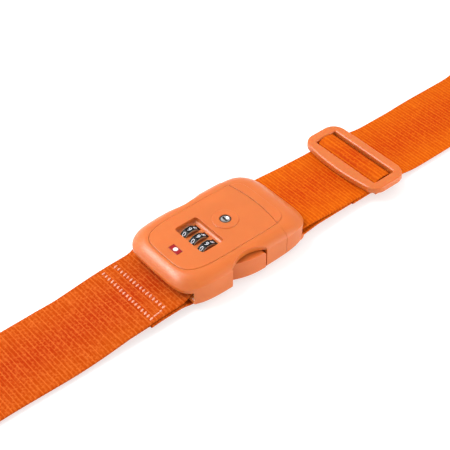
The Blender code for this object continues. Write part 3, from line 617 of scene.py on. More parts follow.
def bezier(start, lead_out, lead_in, end, steps):
    points = []
    for i in range(1, steps + 1):
        t = i / steps
        a = (1 - t) ** 3
        b = 3 * (1 - t) ** 2 * t
        c = 3 * (1 - t) * t ** 2
        d = t ** 3
        points.append(tuple(a * p + b * q + c * r + d * s
                            for p, q, r, s in zip(start, lead_out, lead_in, end)))
    return points


def curve_to(path, lead_out, lead_in, end, steps):
    """Carry path on along a curve."""
    path += bezier(path[-1], lead_out, lead_in, end, steps)


def arc(centre, radius, start, end, steps):
    points = []
    for i in range(steps + 1):
        angle = math.radians(start + (end - start) * i / steps)
        points.append((centre[0] + radius * math.cos(angle), centre[1] + radius * math.sin(angle)))
    return points


# ---- buckle outlines

def signed_power(value, power):
    return math.copysign(abs(value) ** power, value)


def end_weight(x):
    """0 along the buckle's sides, rising smoothly to 1 at its two ends."""
    t = (abs(x) / BUCKLE_END - 0.72) / 0.28
    t = min(max(t, 0.0), 1.0)
    return t * t * (3 - 2 * t)


def superellipse(middle, half_x, half_y, left_power, right_power):
    """A closed outline about (middle, 0). A higher power makes its corners squarer."""
    points = []
    for i in range(OUTLINE_POINTS):
        angle = 2 * math.pi * i / OUTLINE_POINTS
        power = right_power if math.cos(angle) > 0 else left_power
        x = signed_power(math.cos(angle), 2 / power)
        y = signed_power(math.sin(angle), 2 / power)
        points.append((middle + half_x * x, half_y * y))
    return points


def outer_outline(inset=0.0):
    return superellipse(0.0, BUCKLE_END - inset, BUCKLE_HALF - inset, OUTLINE_POWER, OUTLINE_POWER)


def panel_outline(inset=0.0):
    middle = (PANEL_LEFT + PANEL_RIGHT) / 2
    half = (PANEL_RIGHT - PANEL_LEFT) / 2 - inset
    return superellipse(middle, half, PANEL_HALF - inset, PANEL_POWER_LEFT, PANEL_POWER_RIGHT)


def envelope(name, top):
    """The closed buckle's outer body: rounded underside, upright walls and a domed shoulder."""
    outline = outer_outline()
    panel = panel_outline(-0.6 * MM)
    rings = []
    for step in range(7):
        angle = math.radians(15 * step)
        inset = UNDER_INSET * (1 - math.sin(angle))
        height = UNDER_RISE * (1 - math.cos(angle))
        rings.append([(x, y, height) for x, y in outer_outline(inset)])
    for step in range(SHOULDER_RINGS, -1, -1):
        t = math.sin(math.pi / 2 * step / SHOULDER_RINGS)
        fall = t ** SHOULDER_POWER
        ring = []
        for (x, y), (px, py) in zip(outline, panel):
            drop = SIDE_DROP + (END_DROP - SIDE_DROP) * end_weight(x)
            ring.append((px + (x - px) * t, py + (y - py) * t, top - drop * fall))
        rings.append(ring)
    return loft(rings, name)


def seam_side(right, clearance):
    """Everything on one side of the bowed seam, as a tall prism."""
    reach = 80 * MM
    half = 40 * MM
    points = []
    steps = 80
    for i in range(steps + 1):
        y = -half + 2 * half * i / steps
        bow = SEAM_BOW * max(0.0, 1 - (y / PANEL_HALF) ** 2)
        points.append((SEAM_X + bow + clearance, y))
    edge = reach if right else -reach
    points += [(edge, half), (edge, -half)]
    return prism(points, -5 * MM, 30 * MM)


def window_cutter(side):
    """The side window, with an arc-shaped inner edge."""
    middle = (WINDOW[0] + WINDOW[1]) / 2
    half = (WINDOW[1] - WINDOW[0]) / 2
    centre_y = WINDOW_INNER + WINDOW_RADIUS
    points = []
    steps = 40
    for i in range(steps + 1):
        x = -half + 2 * half * i / steps
        y = centre_y - math.sqrt(WINDOW_RADIUS ** 2 - x ** 2)
        points.append((middle + x, side * y))
    points += [(middle + half, side * 40 * MM), (middle - half, side * 40 * MM)]
    return prism(points, CUT_LOW, 24 * MM)


# ---- hard pieces

def strap_bar(x):
    return cylinder(BAR_RADIUS, (x, -BAR_HALF, BAR_Z), (x, BAR_HALF, BAR_Z))


def make_female_shell():
    shell = envelope("female_shell", TOP)
    cut(shell,
        seam_side(True, 0.0),
        box((CAVITY_LEFT, -CAVITY_HALF, CUT_LOW), (40 * MM, CAVITY_HALF, CAVITY_TOP)),
        box((-60 * MM, -BAY_HALF, CUT_LOW), (FEMALE_BAY_WALL, BAY_HALF, BAY_TOP)),
        prism(panel_outline(), PANEL_TOP - PLATE_THICK - GAP, CUT_HIGH),
        box(mm(-30, -17.5, 12), mm(13, 17.5, 22)),
        box((WINDOW[0], -40 * MM, CUT_LOW), (WINDOW[1], 40 * MM, HEAD_HIGH + 0.4 * MM)),
        window_cutter(1),
        window_cutter(-1))
    join(shell, strap_bar(FEMALE_BAR_X))
    finish_piece(shell, "female_shell", "female", "shell_plastic", "female_body")


def make_panel():
    """The inset face plate with its dial pocket, slots, key boss and badge seat."""
    low = PANEL_TOP - PLATE_THICK
    plate = prism(panel_outline(0.6 * GAP), low, PANEL_TOP)
    round_edges(plate, 0.35 * MM, 3, 60)
    cut(plate, seam_side(True, -0.15 * MM))
    boss = cylinder(BOSS_RADIUS, (KEY_X, 0, low + 0.5 * MM), (KEY_X, 0, PANEL_TOP + 0.5 * MM), 96)
    round_edges(boss, 0.45 * MM, 4)
    join(plate, boss)
    wall = POCKET_THICK + 0.25 * MM
    join(plate, box((POCKET[0] - wall, -POCKET[2] - wall, POCKET_FLOOR - POCKET_THICK),
                    (POCKET[1] + wall, POCKET[2] + wall, low + 0.4 * MM)))
    pocket = box((POCKET[0], -POCKET[2], POCKET_FLOOR), (POCKET[1], POCKET[2], CUT_HIGH))
    round_edges(pocket, 2 * MM, 6)
    cut(plate, pocket)
    for y in (DIAL_PITCH, 0.0, -DIAL_PITCH):
        cut(plate, box((DIAL_X - SLOT_HALF_LENGTH, y - DIAL_WIDTH / 2 - 0.2 * MM, 14 * MM),
                       (DIAL_X + SLOT_HALF_LENGTH, y + DIAL_WIDTH / 2 + 0.2 * MM, CUT_HIGH)))
    cut(plate, cylinder(PLUG_RADIUS + GAP, (KEY_X, 0, 12 * MM), (KEY_X, 0, CUT_HIGH)),
        box((BADGE_X - 2.1 * MM, BADGE_Y - 4 * MM, PANEL_TOP - 0.5 * MM),
            (BADGE_X + 2.1 * MM, BADGE_Y + 4 * MM, CUT_HIGH)))
    finish_piece(plate, "face_panel", "female", "shell_plastic", "face_plate")


def make_badge():
    """A plain inlaid tablet with a pale dot."""
    tablet = box((BADGE_X - 1.95 * MM, BADGE_Y - 3.85 * MM, PANEL_TOP - 0.45 * MM),
                 (BADGE_X + 1.95 * MM, BADGE_Y + 3.85 * MM, PANEL_TOP + 0.15 * MM), 0.3 * MM, 3, BADGE)
    finish_piece(tablet, "badge_tablet", "female", "badge_red", "badge")
    seat = (BADGE_X, BADGE_Y)
    dot = cylinder(1.45 * MM, (*seat, PANEL_TOP), (*seat, PANEL_TOP + 0.2 * MM), 32, BADGE_DOT)
    finish_piece(dot, "badge_dot", "female", "badge_red")


def make_male_shell():
    shell = envelope("male_shell", MALE_TOP)
    cut(shell, seam_side(False, GAP))
    pad = prism(panel_outline(GAP), 17 * MM, PANEL_TOP)
    round_edges(pad, 0.5 * MM, 4, 60)
    cut(pad, seam_side(False, GAP))
    join(shell, pad)
    cut(shell,
        box((MALE_BAY_WALL, -BAY_HALF, CUT_LOW), (60 * MM, BAY_HALF, BAY_TOP)),
        box((MALE_BAY_WALL + 1.5 * MM, -20 * MM, 8 * MM), mm(40, 20, 15.5)))
    for side in (1, -1):
        low, high = side_span(side, PRONG_ROOT_Y - 2.6 * MM, PRONG_ROOT_Y + 2.6 * MM)
        cut(shell, box((20 * MM, low, 3.2 * MM), (PRONG_ROOT_X + 2.2 * MM, high, 12.9 * MM)))
    tongue = box(mm(-6, -10.5, 2.6), mm(29, 10.5, 6), 0.6 * MM)
    rib = box(mm(12, -7.5, 5.5), mm(29, 7.5, 9.4), 0.6 * MM)
    join(shell, tongue, rib)
    cut(shell, box(mm(-3.9, -4.4, 0), mm(1.1, 4.4, 10)))
    join(shell, strap_bar(MALE_BAR_X))
    finish_piece(shell, "male_shell", "male", "shell_plastic", "male_body")


def prong_head_outline(side):
    length = HEAD_HEEL_X - HEAD_TIP_X
    outer = []
    steps = 24
    for i in range(steps + 1):
        x = HEAD_HEEL_X - length * i / steps
        tuck = 6 * MM * ((HEAD_HEEL_X - x) / length) ** 2.4
        outer.append((x, side * (BUCKLE_HALF - tuck)))
    inner = [(HEAD_TIP_X + 0.6 * MM, side * 22.6 * MM), (HEAD_HEEL_X, side * 23 * MM)]
    return outer + inner


def heel_cutter(side):
    """What rounds off the top corner of a button's heel, seen from the side."""
    radius = 2.8 * MM
    x, z = HEAD_HEEL_X + 0.02 * MM, HEAD_HIGH + 0.02 * MM
    profile = [(x + MM, z - radius), (x + MM, z + MM), (x - radius, z + MM)]
    for i in range(13):
        angle = math.radians(90 - 7.5 * i)
        profile.append((x - radius + radius * math.cos(angle), z - radius + radius * math.sin(angle)))
    rings = [[(px, side * y, pz) for px, pz in profile] for y in mm(20, 34)]
    return loft(rings, "heel_cutter")


def make_prong(name, side, body):
    prong = prism(prong_head_outline(side), HEAD_LOW, HEAD_HIGH, BUTTON)
    cut(prong, heel_cutter(side))
    round_edges(prong, 1.1 * MM, 5, 50)
    arm = [(PRONG_ROOT_X, side * (PRONG_ROOT_Y - 1.1 * MM)), (PRONG_ROOT_X, side * (PRONG_ROOT_Y + 1.1 * MM)),
           (18 * MM, side * 22.9 * MM), (HEAD_HEEL_X - 2 * MM, side * 25.6 * MM),
           (HEAD_HEEL_X - 4 * MM, side * 23.4 * MM), (18 * MM, side * 20.7 * MM)]
    root = (PRONG_ROOT_X, side * PRONG_ROOT_Y)
    join(prong, prism(arm, 3.8 * MM, 12.3 * MM, BUTTON),
         cylinder(1.9 * MM, (*root, 3.7 * MM), (*root, 12.4 * MM), 32, BUTTON))
    finish_piece(prong, name + "_button", body, "button_plastic", name)


def rounded_rectangle(left, right, half_y, radius, bow=0.0, steps=14):
    """A rounded rectangle between left and right, its left side bowed outwards in the middle."""
    points = []
    corners = ((right, 1, 0), (left, 1, 90), (left, -1, 180), (right, -1, 270))
    for edge, side, start in corners:
        centre_x = edge - radius if edge == right else edge + radius
        for i in range(steps + 1):
            angle = math.radians(start + 90 * i / steps)
            points.append((centre_x + radius * math.cos(angle),
                           side * (half_y - radius) + radius * math.sin(angle)))
        if bow and (edge, side) == (left, 1):
            straight = half_y - radius
            for i in range(1, steps):
                y = straight - 2 * straight * i / steps
                points.append((left - bow * (1 - (y / straight) ** 2), y))
    return points


def make_slider():
    half_length, half_width = GLIDE_OPENING
    left = GLIDE_X - half_length - GLIDE_LEFT_BAR
    right = GLIDE_X + half_length + GLIDE_RIGHT_BAR
    glide = prism(rounded_rectangle(left, right, GLIDE_HALF_WIDTH, GLIDE_CORNER, GLIDE_LEFT_BOW),
                  GLIDE_LOW, GLIDE_HIGH)
    opening = rounded_rectangle(GLIDE_X - half_length, GLIDE_X + half_length + 0.9 * MM,
                                half_width - 0.35 * MM, 1.2 * MM, steps=5)
    cut(glide, prism(opening, 0, 20 * MM))
    round_edges(glide, 1.5 * MM, 6, 50)
    end = half_width + 1 * MM
    for side in (1, -1):
        low, high = side_span(side, end - 0.8 * MM, end + 1.6 * MM)
        join(glide, box((GLIDE_X - CENTRE_BAR_HALF, low, CENTRE_BAR_LOW),
                        (GLIDE_X + CENTRE_BAR_HALF, high, GLIDE_LOW + MM)))
        low, high = side_span(side, half_width - 0.35 * MM, end + 1.5 * MM)
        join(glide, box((GLIDE_X - half_length - MM, low, CENTRE_BAR_LOW),
                        (right - MM, high, GLIDE_LOW + 0.9 * MM), 0.3 * MM))
    join(glide, box((GLIDE_X - CENTRE_BAR_HALF + 0.01 * MM, -end, CENTRE_BAR_LOW + 0.01 * MM),
                    (GLIDE_X + CENTRE_BAR_HALF - 0.01 * MM, end, CENTRE_BAR_HIGH), 0.6 * MM))
    finish_piece(glide, "slider_frame", "slider", "shell_plastic", "tri_glide", lift=0.0)


# ---- dials and key

def text_mesh(character):
    """A flat extruded digit, centred on its own middle."""
    curve = bpy.data.curves.new("digit", "FONT")
    curve.body = character
    curve.size = DIGIT_SIZE
    curve.extrude = 0.05 * MM
    curve.offset = -0.08 * MM
    mesh = curve_mesh(curve)
    low = Vector([min(v.co[i] for v in mesh.vertices) for i in range(3)])
    high = Vector([max(v.co[i] for v in mesh.vertices) for i in range(3)])
    mesh.transform(Matrix.Translation(-(low + high) / 2))
    return mesh


def make_dial(index, y, body):
    """A wheel with ten flats, a low ridge between them and a digit on each."""
    flat = DIAL_RADIUS - 0.2 * MM
    outline = []
    place_shape = ((-14.5, flat), (-8, flat - 0.16 * MM), (0, flat - 0.2 * MM), (8, flat - 0.16 * MM),
                   (14.5, flat), (17.0, DIAL_RADIUS), (19.0, DIAL_RADIUS))
    for k in range(DIGITS):
        centre = math.radians(90 + FIRST_DIGIT_LEAN + DIGIT_TURN * k)
        for offset, radius in place_shape:
            angle = centre + math.radians(offset)
            outline.append((radius * math.cos(angle), radius * math.sin(angle)))
    wheel = prism(outline, -DIAL_WIDTH / 2, DIAL_WIDTH / 2, BLACK)
    round_edges(wheel, 0.25 * MM, 2, 60)
    cut(wheel, cylinder(3.3 * MM, (0, 0, -5 * MM), (0, 0, 5 * MM), 32))
    settle(wheel)
    stand = Matrix.Translation((DIAL_X, y, DIAL_Z)) @ Matrix.Rotation(math.radians(90), 4, "X")
    wheel.data.transform(stand)
    finish_piece(wheel, "dial_%d_wheel" % index, body, "dial_black", "dial_%d" % index)
    bm = bmesh.new()
    for k in range(DIGITS):
        lean = math.radians(FIRST_DIGIT_LEAN + DIGIT_TURN * k)
        digit = text_mesh(str(k))
        digit.transform(Matrix.Rotation(math.radians(-90), 4, "Z"))
        place = (Matrix.Translation((DIAL_X, y, DIAL_Z + LIFT)) @ Matrix.Rotation(-lean, 4, "Y")
                 @ Matrix.Translation((0, 0, flat - 0.15 * MM)))
        digit.transform(place)
        bm.from_mesh(digit)
        bpy.data.meshes.remove(digit)
    digits = from_bmesh("dial_%d_digits" % index, bm, PRINT)
    fit_to_node(digits, body, "dial_black")
    # Painted highlight: a pale ring at the edge of each wheel side.
    rims = side_rings("dial_%d_rims" % index, y, 6.42 * MM, 6.75 * MM, PAINTED_RIM_HIGHLIGHT)
    fit_to_node(rims, body, "dial_black")
    # Painted reflection: brownish-orange rings over the black wheel sides.
    sides = side_rings("dial_%d_sides" % index, y, 3.6 * MM, 6.4 * MM, PAINTED_SIDE_REFLECTION)
    fit_to_node(sides, body, "dial_black")


def side_rings(name, y, inner, outer, material):
    """A thin ring on each side of a wheel."""
    bm = bmesh.new()
    for side in (1, -1):
        edge = [(inner, 1.0), (outer, 1.0), (outer, 1.04), (inner, 1.04)]
        rows = []
        for step in range(72):
            angle = 2 * math.pi * step / 72
            rows.append([bm.verts.new((DIAL_X + r * math.cos(angle), y + side * t * DIAL_WIDTH / 2,
                                       DIAL_Z + LIFT + r * math.sin(angle))) for r, t in edge])
        skin(bm, rows + rows[:1])
    return from_bmesh(name, bm, material)


def make_key_plug():
    plug = cylinder(PLUG_RADIUS, (KEY_X, 0, 13 * MM), (KEY_X, 0, 20.55 * MM), 64, CHROME)
    round_edges(plug, 0.5 * MM, 4)
    join(plug, box((KEY_X - 1.2 * MM, -1.2 * MM, 10.75 * MM), (KEY_X + 1.2 * MM, 1.2 * MM, 13.4 * MM)))
    cut(plug, box((KEY_X - KEYWAY_HALF, -2.2 * MM, 15 * MM), (KEY_X + KEYWAY_HALF, 2.2 * MM, 24 * MM)))
    dish = bmesh.new()
    bowl = 4.2 * MM
    bmesh.ops.create_uvsphere(dish, u_segments=64, v_segments=48, radius=bowl)
    bmesh.ops.translate(dish, vec=(KEY_X, 0, 19.9 * MM + bowl), verts=dish.verts)
    cut(plug, from_bmesh("dish", dish, CHROME))
    finish_piece(plug, "key_barrel_plug", "key_barrel", "chrome", "key_plug")
    # Painted reflection: a dark ring over the chrome plug's rim.
    ring = cylinder(PLUG_RADIUS + 0.05 * MM, (KEY_X, 0, 20.2 * MM), (KEY_X, 0, 20.72 * MM), 64, PAINTED_PLUG_EDGE_REFLECTION)
    round_edges(ring, 0.2 * MM, 3)
    cut(ring, cylinder(PLUG_RADIUS - 0.55 * MM, (KEY_X, 0, 19 * MM), (KEY_X, 0, 22 * MM)))
    finish_piece(ring, "key_barrel_ring", "key_barrel", "chrome")
    # Painted shade: a near-black block fills the keyway under the dish.
    keyway = box((KEY_X - KEYWAY_HALF + 0.02 * MM, -2.15 * MM, 15.1 * MM),
                 (KEY_X + KEYWAY_HALF - 0.02 * MM, 2.15 * MM, 19.3 * MM), 0.1 * MM, 1, PAINTED_KEYWAY_SHADE)
    finish_piece(keyway, "key_barrel_keyway", "key_barrel", "chrome")


def make_coil(name, radius, wire, low, high, centre):
    """A compression spring: a helix of round wire rising from low to high about centre."""
    curve = bpy.data.curves.new(name, "CURVE")
    curve.dimensions = "3D"
    curve.bevel_depth = wire / 2
    curve.bevel_resolution = 3
    curve.use_fill_caps = True
    line = curve.splines.new("POLY")
    steps = 28 * COIL_TURNS
    line.points.add(steps)
    for i in range(steps + 1):
        angle = 2 * math.pi * COIL_TURNS * i / steps
        line.points[i].co = (centre[0] + radius * math.cos(angle), centre[1] + radius * math.sin(angle),
                             LIFT + low + (high - low) * i / steps, 1.0)
    mesh = curve_mesh(curve)
    for polygon in mesh.polygons:
        polygon.use_smooth = True
    coil = add_object(name + "_coil", mesh, STEEL)
    fit_to_node(coil, "female", "steel", name)
    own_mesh(coil)


def make_springs():
    """The blocker's and the code button's return springs."""
    low, high = BLOCKER_SPRING
    make_coil("blocker_spring", 1.5 * MM, 0.4 * MM, low, high, mm(-4.5, 13.2))
    low, high = RESET_SPRING
    make_coil("reset_spring", 1.3 * MM, 0.4 * MM, low, high, (RESET_X, 0))


# ---- webbing

def resample(path, step):
    """Evenly spaced points on a polyline, with the distance along it at each."""
    lengths = [0.0]
    for (x0, z0), (x1, z1) in zip(path, path[1:]):
        lengths.append(lengths[-1] + math.hypot(x1 - x0, z1 - z0))
    count = max(2, round(lengths[-1] / step))
    points = []
    k = 0
    for i in range(count + 1):
        s = lengths[-1] * i / count
        while k < len(path) - 2 and lengths[k + 1] < s:
            k += 1
        span = lengths[k + 1] - lengths[k]
        t = (s - lengths[k]) / span if span else 0.0
        points.append((path[k][0] + (path[k + 1][0] - path[k][0]) * t,
                       path[k][1] + (path[k + 1][1] - path[k][1]) * t))
    return points, lengths[-1]


def smooth(path, rounds):
    """The path with its corners eased, its ends kept."""
    for _ in range(rounds):
        path = [path[0]] + [tuple((a + 2 * b + c) / 4 for a, b, c in zip(*trio))
                            for trio in zip(path, path[1:], path[2:])] + [path[-1]]
    return path


def strap(name, path, course, wave=0.0, material=None):
    """A woven tape along path, a list of (x, z), with crosswise ribs and rounded selvedges.

    course gives its middle's Y and its half width from the share of the way along and x.
    """
    points, length = resample(path, RIB_PITCH / RIB_STEPS)
    points = smooth(points, 6)
    selvedge = [(1.0, 0.0), (0.996, 0.55), (0.985, 0.85), (0.965, 1.0), (0.5, 1.0)]
    section = [(-u, h) for u, h in selvedge] + [(0.0, 1.0)] + selvedge[::-1]
    loop = section + [(u, -h) for u, h in reversed(section[1:-1])]
    bm = bmesh.new()
    layer = bm.loops.layers.uv.new("strap")
    rows = []
    distances = []
    along = 0.0
    for i, (x, z) in enumerate(points):
        before = points[max(i - 1, 0)]
        after = points[min(i + 1, len(points) - 1)]
        direction = Vector((after[0] - before[0], after[1] - before[1])).normalized()
        normal = (-direction.y, direction.x)
        if i:
            along += math.hypot(x - points[i - 1][0], z - points[i - 1][1])
        turn = along / RIB_PITCH
        ridge = abs(math.sin(math.pi * turn))
        lean = wave * math.sin(along * 37.0 + 1.3) + 0.4 * wave * math.sin(along * 91.0)
        middle, half = course(i / (len(points) - 1), x)
        edge = half - 0.1 * MM * (1 - ridge)
        row = []
        for u, h in loop:
            level = h * (HALF_THICK - RIB_DEPTH * (1 - ridge) ** 1.5)
            row.append(bm.verts.new((x + normal[0] * level, middle + lean + u * edge, z + normal[1] * level)))
        rows.append(row)
        distances.append(along)
    count = len(loop)
    for (lower, s0), (upper, s1) in zip(zip(rows, distances), zip(rows[1:], distances[1:])):
        for i in range(count):
            j = (i + 1) % count
            face = bm.faces.new((lower[i], lower[j], upper[j], upper[i]))
            face.smooth = True
            corners = ((s0, loop[i][0]), (s0, loop[j][0]), (s1, loop[j][0]), (s1, loop[i][0]))
            for corner, (s, u) in zip(face.loops, corners):
                corner[layer].uv = (s, u * WEB_WIDTH / 2)
    for row, s in ((rows[0], distances[0]), (rows[-1], distances[-1])):
        face = bm.faces.new(row)
        for corner, (u, h) in zip(face.loops, loop):
            corner[layer].uv = (s, u * WEB_WIDTH / 2)
    return from_bmesh(name, bm, material or WEBBING), length


def bar_wrap(bar_x, start, end):
    return arc((bar_x, BAR_Z + LIFT), BAR_RADIUS + GAP + HALF_THICK, start, end, 24)


def left_path():
    """From the sewn end under the left strand, round the female bar and back along the top."""
    wrap = bar_wrap(FEMALE_BAR_X, -90, 90)
    under = PAIR_Z - 0.95 * MM
    path = [(-68 * MM, PAIR_Z - 1.5 * MM), (-60 * MM, PAIR_Z - 1.05 * MM), (-53 * MM, under),
            (-48 * MM, under)]
    curve_to(path, (-43 * MM, under), (-41.5 * MM, wrap[0][1]), wrap[0], 16)
    path += wrap[1:]
    over = PAIR_Z + 0.95 * MM
    curve_to(path, (-42 * MM, wrap[-1][1]), (-42.5 * MM, over), (-48 * MM, over), 14)
    path += SEWN_TOP[::-1]
    curve_to(path, (-84 * MM, PAIR_Z - 0.8 * MM), (-96 * MM, FLAT_Z), (-125 * MM, FLAT_Z), 24)
    return path


def blend_between(x, stops):
    """A smooth value at x through stops, a list of (x, value)."""
    if x <= stops[0][0]:
        return stops[0][1]
    for (x0, v0), (x1, v1) in zip(stops, stops[1:]):
        if x <= x1:
            t = (x - x0) / (x1 - x0)
            return v0 + (v1 - v0) * t * t * (3 - 2 * t)
    return stops[-1][1]


def spiral(start_radius):
    """From the bottom of the roll inwards, turning away from the buckle first."""
    points = []
    pitch = 2 * LAYER_STEP - 0.05 * MM
    for i in range(int(ROLL_TURNS * ROLL_STEPS) + 1):
        turn = i / ROLL_STEPS
        angle = -math.pi / 2 - 2 * math.pi * turn
        radius = start_radius - pitch * turn
        points.append((ROLL_X + radius * math.cos(angle), ROLL_RADIUS + radius * math.sin(angle)))
    return points


def make_main_strap():
    """One piece: the left strand, the roll that both strands are wound into, and the return strand."""
    inner = spiral(ROLL_RADIUS - 1.5 * WEB_THICK - GAP)
    outer = spiral(ROLL_RADIUS - HALF_THICK)
    path = left_path() + [(ROLL_X + 25 * MM, FLAT_Z)]
    curve_to(path, (ROLL_X + 12 * MM, FLAT_Z), (inner[0][0] + 6 * MM, inner[0][1]), inner[0], 10)
    path += inner[1:]
    tip_inner = inner[-1]
    tip_outer = outer[-1]
    reach = 2.2 * MM
    path += bezier(tip_inner, (tip_inner[0] - reach, tip_inner[1] + 0.3 * MM),
                   (tip_outer[0] - reach, tip_outer[1] + 0.3 * MM), tip_outer, 8)
    path += outer[::-1][1:]
    whole = resample(path, MM)[1]
    left_share = resample(left_path() + [(ROLL_X, FLAT_Z)], MM)[1] / whole
    path.append((FOLD_START - GAP, RETURN_Z))
    total = resample(path, MM)[1]
    left_share *= whole / total
    return_share = whole / total

    tail_share = 24 * MM / total
    wrap_share = 44 * MM / total

    def course(share, x):
        """The sewn tail, the left strand's line, a slow shift in the roll and the return strand's line."""
        if share > return_share:
            return blend_between(x, RETURN_COURSE), blend_between(x, RETURN_HALF)
        stops = [(tail_share, LEFT_SHIFT - TAIL_SHIFT), (wrap_share, LEFT_SHIFT), (left_share, LEFT_SHIFT),
                 (return_share, RETURN_COURSE[0][1])]
        return blend_between(share, stops), WEB_WIDTH / 2

    piece, length = strap("strap_main", path, course, wave=0.4 * MM)
    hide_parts("webbing_left", "webbing_roll", "webbing_return")
    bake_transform(piece)


def left_climb():
    """The webbing's rise from under the left outer bar to the crest over the centre bar."""
    start = (GLIDE_X - 8.6 * MM, UNDER_BAR_Z)
    lead = GLIDE_X - 5.6 * MM
    return [start] + bezier(start, (lead, UNDER_BAR_Z), (GLIDE_X - 6.4 * MM, CREST[1]), CREST, 20)


def offset_path(path, distance):
    moved = []
    for i, (x, z) in enumerate(path):
        before = path[max(i - 1, 0)]
        after = path[min(i + 1, len(path) - 1)]
        along = Vector((after[0] - before[0], after[1] - before[1])).normalized()
        moved.append((x - along.y * distance, z + along.x * distance))
    return moved


def make_right_strap():
    """The fold, the right strand and the rise over the slider's centre bar."""
    tip = HALF_SPAN - HALF_THICK
    low = (236 * MM, RETURN_Z)
    path = [(FOLD_START, RETURN_Z), low]
    path += bezier(low, (243 * MM, RETURN_Z), (tip, 1.6 * MM), (tip, 4.2 * MM), 12)
    curve_to(path, (tip, 6.8 * MM), mm(243, 7.2), mm(238, 6.2), 12)
    curve_to(path, mm(232, 5), (228 * MM, FLAT_Z), (FOLD_START - 4 * MM, FLAT_Z), 12)
    path.append((141 * MM, FLAT_Z))
    foot = (GLIDE_X + 9.3 * MM, UNDER_RIGHT_Z)
    curve_to(path, (133 * MM, FLAT_Z), (127 * MM, foot[1]), (GLIDE_X + 12 * MM, foot[1]), 20)
    path.append(foot)
    path += bezier(foot, (GLIDE_X + 6.2 * MM, foot[1]), (GLIDE_X + 9.8 * MM, CREST[1]), CREST, 24)
    path += left_climb()[::-1][1:]
    path.append((GLIDE_X - 10 * MM, UNDER_BAR_Z))

    def course(share, x):
        """From the return strand's line at the fold to the middle of the slider."""
        return blend_between(share, [(0.05, RETURN_COURSE[-1][1]), (0.4, 0.0)]), WEB_WIDTH / 2

    piece, length = strap("strap_right", path, course, 0.2 * MM, WEBBING_FINE)
    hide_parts("webbing_fold", "webbing_right", "webbing_bulge")
    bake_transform(piece)


def make_male_strap():
    """From under the slider to the male bar, round it and back beneath."""
    wrap = bar_wrap(MALE_BAR_X, 90, 270)
    path = [(GLIDE_X - 10.3 * MM, UNDER_BAR_Z), mm(88, 6.7), mm(74, 7.5)]
    curve_to(path, mm(64, 8), (50 * MM, wrap[0][1]), wrap[0], 20)
    path += wrap[1:]
    curve_to(path, (46 * MM, path[-1][1]), (50 * MM, FLAT_Z), (60 * MM, FLAT_Z), 16)
    path.append((91.7 * MM, FLAT_Z))

    def course(share, x):
        """Centred above; the layer beneath lies a little towards the far side."""
        return (blend_between(share, [(0.52, 0.0), (0.75, UNDERLAP)]),
                blend_between(share, [(0.52, WEB_WIDTH / 2), (0.75, WEB_WIDTH / 2 - 0.4 * MM)]))

    piece, length = strap("strap_male", path, course, 0.2 * MM, WEBBING_FINE)
    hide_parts("webbing_male")
    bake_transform(piece)


def make_end_loop():
    """The strap's other end: round the slider's centre bar and sewn down on the lower layer."""
    low = CENTRE_BAR_LOW - GAP - HALF_THICK
    side = (GLIDE_X + CENTRE_BAR_HALF + GAP + HALF_THICK, (CENTRE_BAR_LOW + CENTRE_BAR_HIGH) / 2)
    top = (GLIDE_X, CREST[1] - LAYER_STEP)
    path = [(92 * MM, FLAT_Z), (99 * MM, FLAT_Z)]
    curve_to(path, (103 * MM, FLAT_Z), (GLIDE_X - 5 * MM, low), (GLIDE_X, low), 10)
    curve_to(path, (GLIDE_X + 2.6 * MM, low), (side[0], low + 0.4 * MM), side, 10)
    path += bezier(side, (side[0], top[1] - 0.4 * MM), (GLIDE_X + 2.6 * MM, top[1]), top, 10)
    path += offset_path(left_climb()[::-1], LAYER_STEP)[1:]
    path.append((84 * MM, FLAT_Z + LAYER_STEP))

    def course(share, x):
        """The lower layer starts a little towards the far side."""
        return blend_between(share, [(0.1, UNDERLAP), (0.22, 0.0)]), WEB_WIDTH / 2 - 0.2 * MM

    piece, length = strap("strap_end_loop", path, course, material=WEBBING_FINE)
    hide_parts("webbing_end_loop")
    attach(piece, "slider")


def top_of_left(x):
    """Height of the left strand's upper face at x, near the stitches."""
    for (x0, z0), (x1, z1) in zip(SEWN_TOP, SEWN_TOP[1:]):
        if x0 <= x <= x1:
            return z0 + (z1 - z0) * (x - x0) / (x1 - x0) + HALF_THICK
    return SEWN_TOP[-1][1] + HALF_THICK


def make_stitches():
    """Two rows of sewing across the strap and a short one that joins them."""
    random.seed(7)
    bm = bmesh.new()
    places = []
    for x, slope, low, high in STITCH_ROWS:
        for k in range(int((high - low) / STITCH_PITCH) + 1):
            y = low + STITCH_PITCH * k
            places.append((x + slope * y, y, 1.0, 0.3))
    row_x, _, row_low, _ = STITCH_ROWS[0]
    for k in range(3):
        places.append((row_x - (2.1 + 2.2 * k) * MM, row_low - (1.4 + 0.3 * k) * MM, 0.8, 0.15))
    for x, y, size, slant in places:
        bead = bmesh.ops.create_uvsphere(bm, u_segments=12, v_segments=8, radius=1.0)["verts"]
        length = (1.35 + 0.25 * random.uniform(-1, 1)) * MM * size
        bmesh.ops.scale(bm, vec=(length, 0.62 * MM * size, 0.38 * MM), verts=bead)
        turn = Matrix.Rotation(slant + random.uniform(-0.15, 0.15), 4, "Z")
        place = Matrix.Translation((x + random.uniform(-0.1, 0.1) * MM, y + random.uniform(-0.1, 0.1) * MM,
                                    top_of_left(x) + 0.02 * MM))
        bmesh.ops.transform(bm, matrix=place @ turn, verts=bead)
    for face in bm.faces:
        face.smooth = True
    stitches = from_bmesh("left_stitches", bm, THREAD)
    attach(stitches, "female")


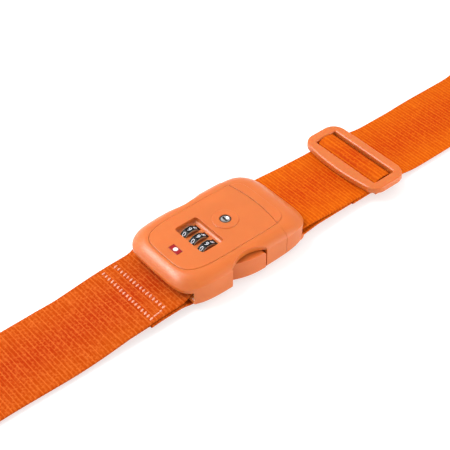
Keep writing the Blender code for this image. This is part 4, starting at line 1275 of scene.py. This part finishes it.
def make_tie():
    """The tie round the stored roll."""
    low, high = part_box("roll_tie")
    half = (high.y - low.y) / 2 - 0.5 * MM
    centre_y = (high.y + low.y) / 2
    reach = 2 * ROLL_RADIUS + 0.8 * MM
    bottom = low.z + 0.5 * MM
    corner = 1.2 * MM
    left = centre_y - half
    right = centre_y + half
    shoulder = reach - corner
    turned = (0.4, 0.8, 1.2, math.pi / 2)
    path = [(left, bottom), (left, shoulder)]
    path += [(left + corner * (1 - math.cos(a)), shoulder + corner * math.sin(a)) for a in turned]
    path.append((right - corner, reach))
    path += [(right - corner + corner * math.sin(a), shoulder + corner * math.cos(a)) for a in turned]
    path += [(right, bottom), (left, bottom)]
    bm = bmesh.new()
    rows = []
    width = 4 * MM
    for y, z in path:
        rows.append([bm.verts.new((ROLL_X - width, y, z)), bm.verts.new((ROLL_X + width, y, z))])
    for lower, upper in zip(rows, rows[1:]):
        bm.faces.new((lower[0], lower[1], upper[1], upper[0]))
    bmesh.ops.remove_doubles(bm, verts=bm.verts, dist=0.01 * MM)
    tie = from_bmesh("roll_tie_tape", bm, TIE)
    shell = tie.modifiers.new("thick", "SOLIDIFY")
    shell.thickness = 0.9 * MM
    shell.offset = 0.0
    round_edges(tie, 0.25 * MM, 2)
    finish_piece(tie, "roll_tie_tape", "female", "tie_black", "roll_tie", lift=0.0)


# ---- carried-over nodes

def dress_nodes():
    """Better materials for the CAD nodes that stay."""
    by_slot = {"shell_plastic": SHELL, "button_plastic": BUTTON, "webbing": WEBBING, "dial_black": BLACK,
               "steel": STEEL, "chrome": CHROME, "zinc": ZINC, "brass": BRASS, "badge_red": BADGE,
               "tie_black": TIE}
    slots = {row["node"]: row["material_slot"] for row in frame["record"]["subparts"]}
    for name, obj in frame["nodes"].items():
        obj.data.materials.clear()
        obj.data.materials.append(by_slot[slots[name]])


add_camera()
add_stage()
dress_nodes()
make_female_shell()
make_panel()
make_badge()
make_male_shell()
make_prong("prong_front", -1, "release_front")
make_prong("prong_back", 1, "release_back")
make_slider()
make_dial(1, DIAL_PITCH, "dial_a")
make_dial(2, 0.0, "dial_b")
make_dial(3, -DIAL_PITCH, "dial_c")
make_key_plug()
make_springs()
make_main_strap()
make_right_strap()
make_male_strap()
make_end_loop()
make_stitches()
make_tie()
